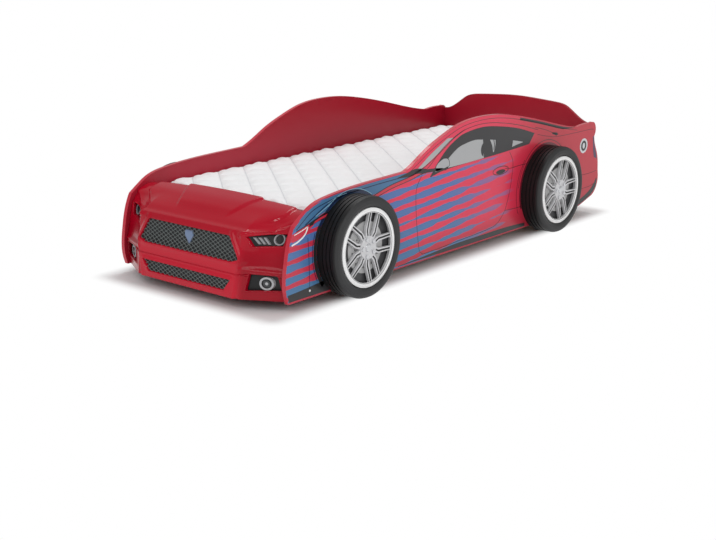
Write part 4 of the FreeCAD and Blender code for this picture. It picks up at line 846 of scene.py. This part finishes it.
net_grey = finish("grille_grey", srgb(112, 118, 117), 0.42, drift=0.15, spread=0.08, grain=0.06)
net_backing = finish("grille_backing", srgb(50, 52, 53), 0.5, drift=0.1, grain=0.05)
for name in ("upper", "lower"):
    edge = OPENINGS[name]
    net = build("grille_net_" + name, *merged(grille_bars(edge)), net_grey)
    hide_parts("grille_mesh_" + name)
    rows = np.linspace(0, 1, 9)[:, None]  # from the opening's middle line to just past its edge
    x = edge[:, 0] * rows * 1.02
    z = edge[:, 1].mean() + (edge[:, 1] - edge[:, 1].mean()) * rows * 1.05
    y = np.stack([front_y(px, pz) for px, pz in zip(x, z)]) + SHEET_DEPTH
    sheet = build("grille_backing_" + name, grid(x, y, z), grid_faces(*x.shape, around=True),
                  net_backing)
    print(net.name, len(net.data.polygons), "faces")

# %% [markdown]
# The blank plate in the upper grille is a small shield. It is one outline, shrunk in steps towards
# its middle, and each step comes a little further forward. That gives a side wall, a rounded edge
# and a faintly domed face.

# %% The blank plate in the upper grille
PLATE_STEPS = np.array([(1.0, 9.0), (1.0, 1.6), (0.93, 0.4), (0.6, 0.0), (0.01, -0.6)])
plate = rounded([(-17, 240), (17, 240), (21, 222), (0, 190), (-21, 222)], 4, 64)
middle = plate.mean(0)
x, z = (middle + PLATE_STEPS[:, :1, None] * (plate - middle)).transpose(2, 0, 1)
y = front_y(middle[:1], middle[1:])[0] + 2.0 + PLATE_STEPS[:, 1:]
badge_plate = build("badge_plate", grid(x, y, z), grid_faces(*x.shape, around=True), badge_blue)
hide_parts("badge_blank")
print("badge plate", len(badge_plate.data.polygons), "faces")

# %% [markdown]
# The mattress is a foam core in a quilted cover. Its form starts as a plain rounded block with a
# flat underside and a slight crown. The block is remeshed into even small faces, because cloth
# needs those.

# %% The block that the mattress starts from
BED_Y, HALF_X, HALF_Y, CORNER = 103.5, 398.5, 898.5, 50.0
EDGE = [(42, 233.5), (26, 233.5), (12, 234.5), (4, 238), (0.5, 243), (0, 250), (0, 280), (0, 308),
        (0.5, 314), (4, 319), (12, 322), (26, 322.6), (42, 322.6)]  # inset, height


def perimeter(inset, count=360):
    """count even points of a rounded rectangle, moved inwards by inset (X and Y in mm)."""
    turn = np.linspace(0, np.pi / 2, 12)
    bend = np.stack([np.cos(turn), np.sin(turn)], -1) * (CORNER - inset)
    quarter = bend + np.array([HALF_X - CORNER, HALF_Y - CORNER])
    loop = np.concatenate([quarter, quarter[::-1] * (-1, 1), quarter * -1, quarter[::-1] * (1, -1)])
    return even(np.concatenate([loop, loop[:1]]), count + 1)[:-1] + (0, BED_Y)


def applied(piece):
    """Replaces the piece's mesh by what its modifiers make of it, and removes them."""
    made = bpy.data.meshes.new_from_object(piece.evaluated_get(
        bpy.context.evaluated_depsgraph_get()))
    piece.modifiers.clear()
    piece.data = made


def read(points, what="co"):
    """Where the points are, or with "vector" the way they face, as an array of three columns."""
    found = np.zeros(len(points) * 3, np.float32)
    points.foreach_get(what, found)
    return found.reshape(-1, 3).astype(float)


def move_to(mesh, points):
    """Puts the mesh's points where the array says."""
    mesh.vertices.foreach_set("co", points.astype(np.float32).ravel())
    mesh.update()


def crown(points):
    """Lifts the top: 5 mm in the middle, falling off as 1 - (x/400)^2 and 1 - (y/900)^6."""
    fall = (1 - (points[:, 0] / 0.4) ** 2) * (1 - ((points[:, 1] - BED_Y * MM) / 0.9) ** 6)
    return 0.005 * np.clip(fall, 0, 1) * rises(points[:, 2], 0.29, 0.32)


rings = np.stack([np.c_[perimeter(inset), np.full(360, height)] for inset, height in EDGE])
caps = [list(range(359, -1, -1)), list(range((len(EDGE) - 1) * 360, len(EDGE) * 360))]
block = bpy.data.meshes.new("mattress_block")
block.from_pydata((rings.reshape(-1, 3) * MM).tolist(), [],
                  grid_faces(len(EDGE), 360, around=True).tolist() + caps)
block.update()
mattress = bpy.data.objects.new("mattress_quilted_cover", block)
scene.collection.objects.link(mattress)
even_mesh = mattress.modifiers.new("even", "REMESH")
even_mesh.mode, even_mesh.voxel_size = "VOXEL", 0.0115
applied(mattress)
points = read(mattress.data.vertices)
points[:, 2] += crown(points)
move_to(mattress.data, points)
print("mattress block:", len(points), "points")

# %% [markdown]
# The cover swells. Quilting is a real effect of force: wadding presses the cloth out everywhere but
# along the seams. A bump drawn in the material would stay flat at the rim, so the cover is
# simulated. The points along the top's diamond seams, under the upper piping and on the underside
# are held. The cloth gets pressure inside and a little spare length, and it swells into puffs with
# small wrinkles. No point may end more than 4.5 mm from where it began.

# %% The cover swells
SEAM_X, SEAM_Y = 80.0, 1800 / 26
PIPING_Z, UNDERSIDE_Z = (314, 243), 0.251


def seam_gap(points):
    """Distance in mm to the nearest quilting seam.

    The seams are the lines where u = (x/80 + y/69.2)/2 or v = (x/80 - y/69.2)/2 is a whole number.
    """
    a = points[:, 0] / MM / SEAM_X
    b = (points[:, 1] / MM - BED_Y) / SEAM_Y
    steep = 0.5 * math.hypot(1 / SEAM_X, 1 / SEAM_Y)
    u, v = (a + b) / 2, (a - b) / 2
    return np.minimum(np.abs(u - np.round(u)), np.abs(v - np.round(v))) / steep


def swell_cover(piece, held, pressure=3.2, spare=0.03, frames=20, cap=0.0045):
    """Cloth with pressure inside and spare length, held at some points and capped elsewhere.

    A point that moved further than cap is brought back to cap along its own way.
    """
    before = read(piece.data.vertices)
    sewn = piece.vertex_groups.new(name="sewn")
    sewn.add(np.flatnonzero(held).tolist(), 1.0, "REPLACE")
    cloth = piece.modifiers.new("cloth", "CLOTH")
    cloth.settings.quality = 4
    cloth.settings.mass = 0.25
    cloth.settings.use_pressure = True
    cloth.settings.uniform_pressure_force = pressure
    cloth.settings.shrink_min = -spare
    cloth.settings.bending_stiffness = 0.4
    cloth.settings.effector_weights.gravity = 0
    cloth.settings.vertex_group_mass = "sewn"
    cloth.collision_settings.use_collision = False
    for number in range(1, frames + 1):
        scene.frame_set(number)
    applied(piece)
    scene.frame_set(1)
    move = read(piece.data.vertices) - before
    length = np.linalg.norm(move, axis=1, keepdims=True)
    move *= np.minimum(1, cap / np.maximum(length, 1e-9))
    move_to(piece.data, before + move)
    piece.vertex_groups.clear()
    return length.max() / MM


points = read(mattress.data.vertices)
lying = np.abs(read(mattress.data.vertex_normals, "vector")[:, 2]) > 0.7
held = (lying & (seam_gap(points) < 7.0)
        | ~lying & (np.abs(points[:, 2] - PIPING_Z[0] * MM) < 0.007)
        | (points[:, 2] < UNDERSIDE_Z))
furthest = swell_cover(mattress, held)
print("the cover swelled up to", round(float(furthest), 1), "mm before the cap")
print("held:", int(held.sum()), "of", len(points), "points")

# %% [markdown]
# The seams draw the cloth in along a narrow groove, finer than the cloth's own faces. So the mesh
# is divided once more. Each point of the top then moves along its own direction, out by the puff's
# crown and in by the groove, both found from its distance to the seam. The piping is a thin tube
# round the top and the bottom edge.

# %% Seams, flat underside and piping
PUFF = 5.0  # mm, more where the cloth is not simulated
PUFF_REACH, GROOVE, GROOVE_REACH, PIPE = 26, 3.0, 5, 3.0  # mm
finer = mattress.modifiers.new("finer", "SUBSURF")
finer.levels = finer.render_levels = 1
applied(mattress)
points = read(mattress.data.vertices)
facing = read(mattress.data.vertex_normals, "vector")
gap = seam_gap(points)
puff = PUFF * (1 - np.exp(-(gap / PUFF_REACH) ** 2))
groove = GROOVE * np.exp(-(gap / GROOVE_REACH) ** 2)
points += facing * ((puff - groove) * rises(facing[:, 2], 0.5, 0.85) * MM)[:, None]
points[:, 2] = np.maximum(points[:, 2], 0.2302)
move_to(mattress.data, points)
mattress.data.shade_smooth()
top = round(float(points[:, 2].max()), 4)
print("mattress:", len(mattress.data.polygons), "faces, top at", top)


def tube(path, radius, sides=10):
    """A closed tube round a level path: path + radius (cos w * outward + sin w * up)."""
    step = np.roll(path, -1, 0) - np.roll(path, 1, 0)
    outward = np.stack([step[:, 1], -step[:, 0], np.zeros(len(path))], -1)
    outward /= np.linalg.norm(outward, axis=1)[:, None]
    turn = np.arange(sides) * 2 * np.pi / sides
    points = (path[:, None] + radius * np.cos(turn)[:, None] * outward[:, None]
              + radius * np.sin(turn)[:, None] * np.array([0, 0, 1.0]))
    return points.reshape(-1, 3) * MM, grid_faces(len(path), sides, around=True, closed=True)


piping_look = finish("piping_tape", srgb(232, 232, 234), 0.7, drift=0.05, grain=0.4, scale=1500)
piping = build("mattress_piping", *merged([
    tube(np.c_[perimeter(-0.6, 480), np.full(480, height)], PIPE) for height in PIPING_Z]),
    piping_look, body="mattress")
print("piping:", len(piping.data.polygons), "faces")

# %% [markdown]
# The cover's cloth is a white jersey knit with a soft sheen. Its finest grain is the knit itself,
# rows of stitches 1.4 mm apart, as a bump. Along the seams runs the thread: short raised stitches
# every 4 mm, found from the same u and v that placed the seams. Beside them the hollows are
# painted greyer, as painted shade.
# The border round the sides is a coarser grey weave.

# %% The cover's cloth
KNIT, STITCHES = 4488.0, 1600.0  # 2 pi over 1.4 mm and over 3.9 mm, in metres
cloth_look, graph, shader = material("quilted_jersey")
x, y, z = graph.axes()
a = graph.math("DIVIDE", x, SEAM_X * MM)
b = graph.math("DIVIDE", graph.minus(y, BED_Y * MM), SEAM_Y * MM)
near = []
for sign in (1.0, -1.0):
    u = graph.times(graph.math("MULTIPLY_ADD", b, sign, a), 0.5)
    near.append(graph.away(graph.minus(u, graph.math("ROUND", u))))
nearest = graph.math("MINIMUM", *near)
border = graph.times(graph.step(z, 0.2465, 0.249), graph.step(z, 0.3125, 0.3105))
quilted = graph.minus(1.0, border)
thread = graph.times(graph.step(nearest, 0.016, 0.006), quilted)
valley = graph.times(graph.step(nearest, 0.0, 0.075), quilted)
painted_seam_shade = graph.times(graph.step(nearest, 0.07, 0.0), quilted)
beat = graph.math("SINE", graph.times(graph.minus(x, y), STITCHES))
stitch = graph.times(thread, graph.step(beat, -0.4, 0.3))
knit = graph.times(*[graph.math("SINE", graph.times(graph.math("ADD", axis, z), KNIT))
                     for axis in (y, x)])
surface = graph.node("ShaderNodeGroup", {"Color": srgb(240, 240, 241), "Drift": 0.05,
                                         "Roughness": 0.82, "Spread": 0.1, "Size": 14.0},
                     node_tree=DRIFT).outputs
# painted shade: the white cloth greys towards each seam, where its hollows lie
tone = graph.mix(graph.times(painted_seam_shade, 0.5), surface["Color"], srgb(214, 214, 218))
tone = graph.mix(graph.times(thread, 0.7), tone, srgb(190, 190, 194))
woven = graph.step(graph.noise(graph.place((160, 160, 30)), 3.0, 2.0), 0.35, 0.65)
tone = graph.mix(border, tone, graph.mix(woven, srgb(206, 207, 205), srgb(226, 227, 224)))
height = graph.math("MULTIPLY_ADD", stitch, 2.0, knit)
height = graph.math("MULTIPLY_ADD", valley, 7.0, height)
relief = graph.node("ShaderNodeBump", {"Strength": 0.22, "Distance": 0.0006, "Height": height})
looks = {"Base Color": tone, "Roughness": surface["Roughness"], "Normal": relief.outputs[0],
         "Sheen Weight": 0.25, "Sheen Roughness": 0.5}
for socket, value in looks.items():
    graph.join(value, shader[socket])
mattress.data.materials.clear()
mattress.data.materials.append(cloth_look)
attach(mattress, "mattress")
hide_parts("mattress_cover")
print("cover's cloth:", len(cloth_look.node_tree.nodes), "nodes")

# %% [markdown]
# The crisp shapes of the print: windows, lines, arches and sills. Cutting them into the board would
# break the construction's own piece. So each is a film of ink on the board, a fraction of a
# millimetre proud, and every film is a surface between two edges in Y and Z. A line is the same
# with its two edges half a width to each side of a path. Films of one ink are one piece, on both
# sides of the car.

# %% Helpers for printed films
BOARD_FACE, FILM_STEP = 421.1, 0.12  # mm: the lowest film's |x|, and what each level adds
inks = {}


def film(ink, level, low, high, curved=True, count=48):
    """The region between two edges in Y and Z, printed on both sides of the car."""
    trace = through if curved else even
    flat = np.concatenate([trace(low, count), trace(high, count)])
    quads = grid_faces(2, count)
    corner = flat[quads]
    area = np.sum(corner[:, :, 0] * np.roll(corner[:, :, 1], -1, 1)
                  - np.roll(corner[:, :, 0], -1, 1) * corner[:, :, 1])
    for side in (1, -1):
        points = grid(side * (BOARD_FACE + FILM_STEP * level), flat[:, 0], flat[:, 1])
        inks.setdefault(ink, []).append((points, quads if side * area > 0 else quads[:, ::-1]))


def beside(path, amount, count=48, curved=True):
    """A path moved sideways: to its left for a positive amount."""
    line = (through if curved else even)(path, count)
    step = np.gradient(line, axis=0)
    step /= np.linalg.norm(step, axis=1)[:, None]
    return line + amount * np.stack([-step[:, 1], step[:, 0]], -1)


def stroke(ink, level, path, width, curved=True, count=48):
    """A line of even width: the film between the path moved half the width to each side."""
    film(ink, level, beside(path, -width / 2, count, curved),
         beside(path, width / 2, count, curved), curved=False, count=count)


def arc(centre, radius, start, end, count=60, flat=1.0):
    """centre + radius (cos w, flat * sin w), for w from start to end in degrees."""
    turn = np.radians(np.linspace(start, end, count))
    return np.stack([centre[0] + radius * np.cos(turn),
                     centre[1] + flat * radius * np.sin(turn)], -1)


def ring(ink, level, centre, inner, outer, start=0, end=360, flat=1.0):
    """The film between two arcs about one centre."""
    film(ink, level, arc(centre, inner, start, end, flat=flat),
         arc(centre, outer, start, end, flat=flat), curved=False, count=80)


print("films lie", FILM_STEP, "mm apart, from", BOARD_FACE, "mm outwards")

# %% [markdown]
# The front wing. Lines that follow the roof are taken from the board's own outline, moved inwards.
# The wheel arches are rings about the axles. A blue field with dark and pale lines runs over the
# wheel, and a black corner with a red strip marks the lamp's side view.

# %% The front wing
FRONT_AXLE, REAR_AXLE = (-666.5, 183.5), (608.5, 183.5)
WING = [(-958.5, 300), (-920.5, 326), (-872.5, 354), (-788.5, 374), (-687.5, 384), (-530.5, 391),
        (-360.5, 395)]
ROOF = [(-360.5, 395), (-320.5, 411), (-222.5, 460), (-135.5, 494), (-14.5, 530), (112.5, 542),
        (252.5, 536), (403.5, 512), (561.5, 477), (728.5, 436), (866.5, 410)]
film("blue", 0, [(-962, 284), (-880, 299), (-815, 321), (-740, 330), (-600, 334), (-530, 343),
                 (-449, 358), (-331, 373), (-300, 386)], beside(WING, -3.5))
stroke("navy", 1, beside(WING, -16), 3.2, curved=False)
stroke("navy", 1, [(-905, 296), (-850, 322), (-800, 345), (-752, 362), (-715, 370)], 4.5)
stroke("sky", 1, [(-852, 317), (-800, 338), (-757, 355), (-715, 364)], 3.0)
stroke("sky", 2, [(-790, 352), (-745, 365), (-690, 372)], 1.6)
ring("navy", 1, FRONT_AXLE, 183, 196, -38, 150)
# the arch ring is printed; in front of the wheel it is near black instead of navy, as painted shade
ring("dark", 1, FRONT_AXLE, 183, 199, 150, 218)
ring("sky", 2, FRONT_AXLE, 196, 198.4, 55, 128)
ring("navy", 2, FRONT_AXLE, 203, 206, 158, 208)
stroke("navy", 1, [(-893, 250), (-889, 180), (-887, 110), (-886, 66)], 2.4)
crease_low = [(-550, 322), (-449, 345), (-331, 360), (-262, 373)]
crease_high = [(-550, 336), (-449, 359), (-331, 374), (-262, 389)]
film("red", 1, crease_low, crease_high)
stroke("dark", 2, crease_low, 2.6)
stroke("dark", 2, crease_high, 3.2)
film("dark", 2, [(-405, 378), (-331, 374), (-290, 378), (-232, 371)],
     [(-405, 381), (-360, 388), (-300, 398), (-232, 389)])
film("red", 0, [(-972, 246), (-940, 252), (-900, 268), (-862, 289)],
     [(-952, 279), (-915, 288), (-880, 297), (-862, 300)])
stroke("dark", 2, [(-951, 281), (-915, 290), (-872, 301), (-835, 312), (-790, 325)], 3.0)
film("dark", 1, [(-885, 286), (-840, 297), (-800, 304), (-768, 309)],
     [(-885, 299), (-840, 313), (-800, 320), (-768, 324)], curved=False)
film("red", 2, [(-866, 292), (-830, 301), (-790, 308)], [(-856, 301), (-830, 309), (-780, 319)],
     curved=False)
lamp_corner = [(-960, 271), (-925, 279), (-893, 289), (-898, 276), (-912, 260), (-940, 246),
               (-974, 237)]
stroke("white", 2, lamp_corner[:3], 3.2)
stroke("white", 2, lamp_corner[2:], 6.0)
film("dark", 1, [(-991, 40.5), (-900, 40.5), (-776, 40.5)], [(-997, 68), (-905, 74), (-776, 86)])
stroke("edge_line", 2, [(-992, 41), (-900, 41), (-776, 41)], 2.4, curved=False)
ring("white", 2, (-886, 62), 0.6, 4.2)
print("films so far:", sum(map(len, inks.values())))

# %% [markdown]
# Windows, roof and mirror. The cabin is one dark field, its panes are paler films that lie on it,
# and the mirror lies on top of both.

# %% Windows, roof and mirror
film("dark", 0, [(-206, 352), (-88, 368), (228, 377), (400, 384), (478, 388)],
     [(-206, 356), (-155, 405), (-102, 446), (-45, 474), (14, 492), (135, 501), (260, 488),
      (392, 464), (516, 429)])
film("glass", 1, [(-92, 372), (20, 373), (147, 376)],
     [(-101, 403), (-52, 430), (-8, 446), (75, 456), (137, 451)])
film("dark", 2, arc((146, 410), 21, 100, 260, flat=1.3), arc((146, 410), 0.5, 100, 260),
     curved=False)
film("glass", 1, [(187, 444), (203, 418), (211, 391)], [(226, 438), (226, 418), (216, 390)])
stroke("dark", 2, [(213, 440), (219, 420), (215, 400)], 5)
film("glass", 1, [(348, 393), (385, 398), (429, 402)], [(354, 419), (390, 412), (429, 403)],
     curved=False)
film("glass", 1, [(-291, 391), (-245, 399), (-159, 436), (-62, 484)],
     [(-289, 394), (-250, 415), (-198, 443), (-100, 486)])
stroke("dark", 2, [(-300, 386), (-245, 396), (-159, 432), (-62, 480), (10, 505)], 2.6)
stroke("dark", 2, [(-262, 372), (-205, 400), (-140, 446), (-60, 484), (20, 506), (135, 514),
                   (262, 502), (400, 476), (540, 440)], 2.2)
roof_line = beside(ROOF, -13)
stroke("dark", 1, roof_line, 1.8, curved=False)
rear_roof = [point for point in ROOF if point[0] > 380]
film("dark", 1, list(beside(rear_roof, -16)[:36]) + [(838, 410)],
     list(beside(rear_roof, -5)[:36]) + [(838, 411)], curved=False)
stroke("dark", 1, [(520, 452), (600, 432), (668, 409), (690, 402)], 2.2)
film("dark", 1, [(655, 408), (690, 396), (704, 398)], [(655, 414), (690, 410), (704, 402)],
     curved=False)
film("glass", 3, [(-176, 368), (-126, 373), (-89, 379)],
     [(-174, 372), (-165, 393), (-127, 410), (-96, 406), (-87, 386)])
stroke("dark", 4, [(-178, 366), (-168, 393), (-127, 412), (-95, 408), (-84, 384), (-92, 375)], 3.0)
film("dark", 3, [(-262, 370), (-235, 373), (-156, 369), (-104, 364)],
     [(-262, 380), (-235, 386), (-156, 380), (-104, 371)])
print("films so far:", sum(map(len, inks.values())))

# %% [markdown]
# Doors, sills and the rear. The door's edge is one thin line that starts and ends under the window,
# and the handle is a flattened ring with a dark grip in it. The last loop gives each ink its finish
# and builds all its films as one piece.

# %% Doors, sills and the rear
door = [(-261, 366), (-290, 323), (-293, 266), (-288, 200), (-282, 155), (-275, 108), (-268, 80),
        (-252, 66), (-220, 62), (13, 70), (180, 77), (245, 86), (282, 108), (308, 134), (328, 175),
        (343, 220), (355, 275), (359, 318), (352, 345), (330, 376)]
stroke("dark", 1, door, 2.4, count=220)
film("dark", 0, [(-400, 44), (-218, 43.5), (-35, 42), (158, 41), (463, 41)],
     [(-400, 46), (-254, 51), (-36, 61), (158, 62), (320, 62), (463, 56)])
stroke("edge_line", 1, [(-470, 39), (0, 39), (463, 39)], 2.6, curved=False)
handle = arc((270, 307), 56, 0, 360, flat=0.29)
stroke("dark", 1, handle, 3.0, curved=False)
film("dark", 1, arc((270, 303), 33, 0, 180, flat=0.24), arc((270, 303), 34, 0, -180, flat=0.3),
     curved=False)
stroke("dark", 1, [(302, 310), (338, 306), (412, 308), (466, 307)], 2.2)
stroke("dark", 1, [(311, 134), (386, 131), (447, 130)], 2.2)
stroke("maroon", 1, [(447, 324), (408, 262), (392, 190), (402, 120), (412, 100)], 3.0)
ring("maroon", 1, REAR_AXLE, 183, 193, -25, 200)
ring("dark", 1, REAR_AXLE, 203, 205.4, 8, 172)
stroke("maroon", 1, [(540, 420), (620, 402), (696, 391), (846, 388), (975, 387), (1006, 383)], 2.4)
ring("silver", 2, (926, 320), 23, 33)
ring("dark", 2, (926, 320), 0.4, 23)
ring("silver", 3, (926, 320), 0.4, 10, flat=1.3)
film("violet", 1, [(1003, 352), (1007, 320), (1012, 285), (1020, 256)],
     [(1012, 353), (1023, 310), (1040, 270), (1047, 246)])
stroke("maroon", 1, [(800, 186), (889, 189), (994, 188), (1050, 192)], 2.6)
stroke("maroon", 1, [(800, 122), (895, 126), (1000, 128), (1046, 140)], 2.6)
film("maroon", 1, [(812, 134), (860, 139), (905, 146)], [(812, 158), (860, 152), (905, 148)],
     curved=False)
film("dark", 0, [(790, 41), (907, 57), (1000, 84), (1046, 115), (1058, 150)],
     [(790, 66), (900, 78), (985, 104), (1030, 134), (1050, 158)])
film("edge_line", 1, [(1012, 120), (1030, 140), (1042, 162)],
     [(1008, 124), (1024, 142), (1036, 163)])

INKS = {"blue": (70, 116, 156), "navy": (26, 40, 74), "sky": (140, 186, 210), "dark": (44, 43, 45),
        "red": (208, 52, 72), "edge_line": (198, 52, 70), "maroon": (112, 26, 42),
        "glass": (174, 176, 177), "white": (240, 240, 240), "violet": (84, 62, 92)}
for ink, parts in inks.items():
    if ink == "silver":
        look = silver
    else:
        look = finish("ink_" + ink, srgb(*INKS[ink]), 0.32, drift=0.1, grain=0.02, scale=700,
                      coat=0.15, coat_rough=0.12)
    printed = build("print_" + ink, *merged(parts), look, smooth=False)
print("printed films:", {ink: len(parts) for ink, parts in inks.items()})
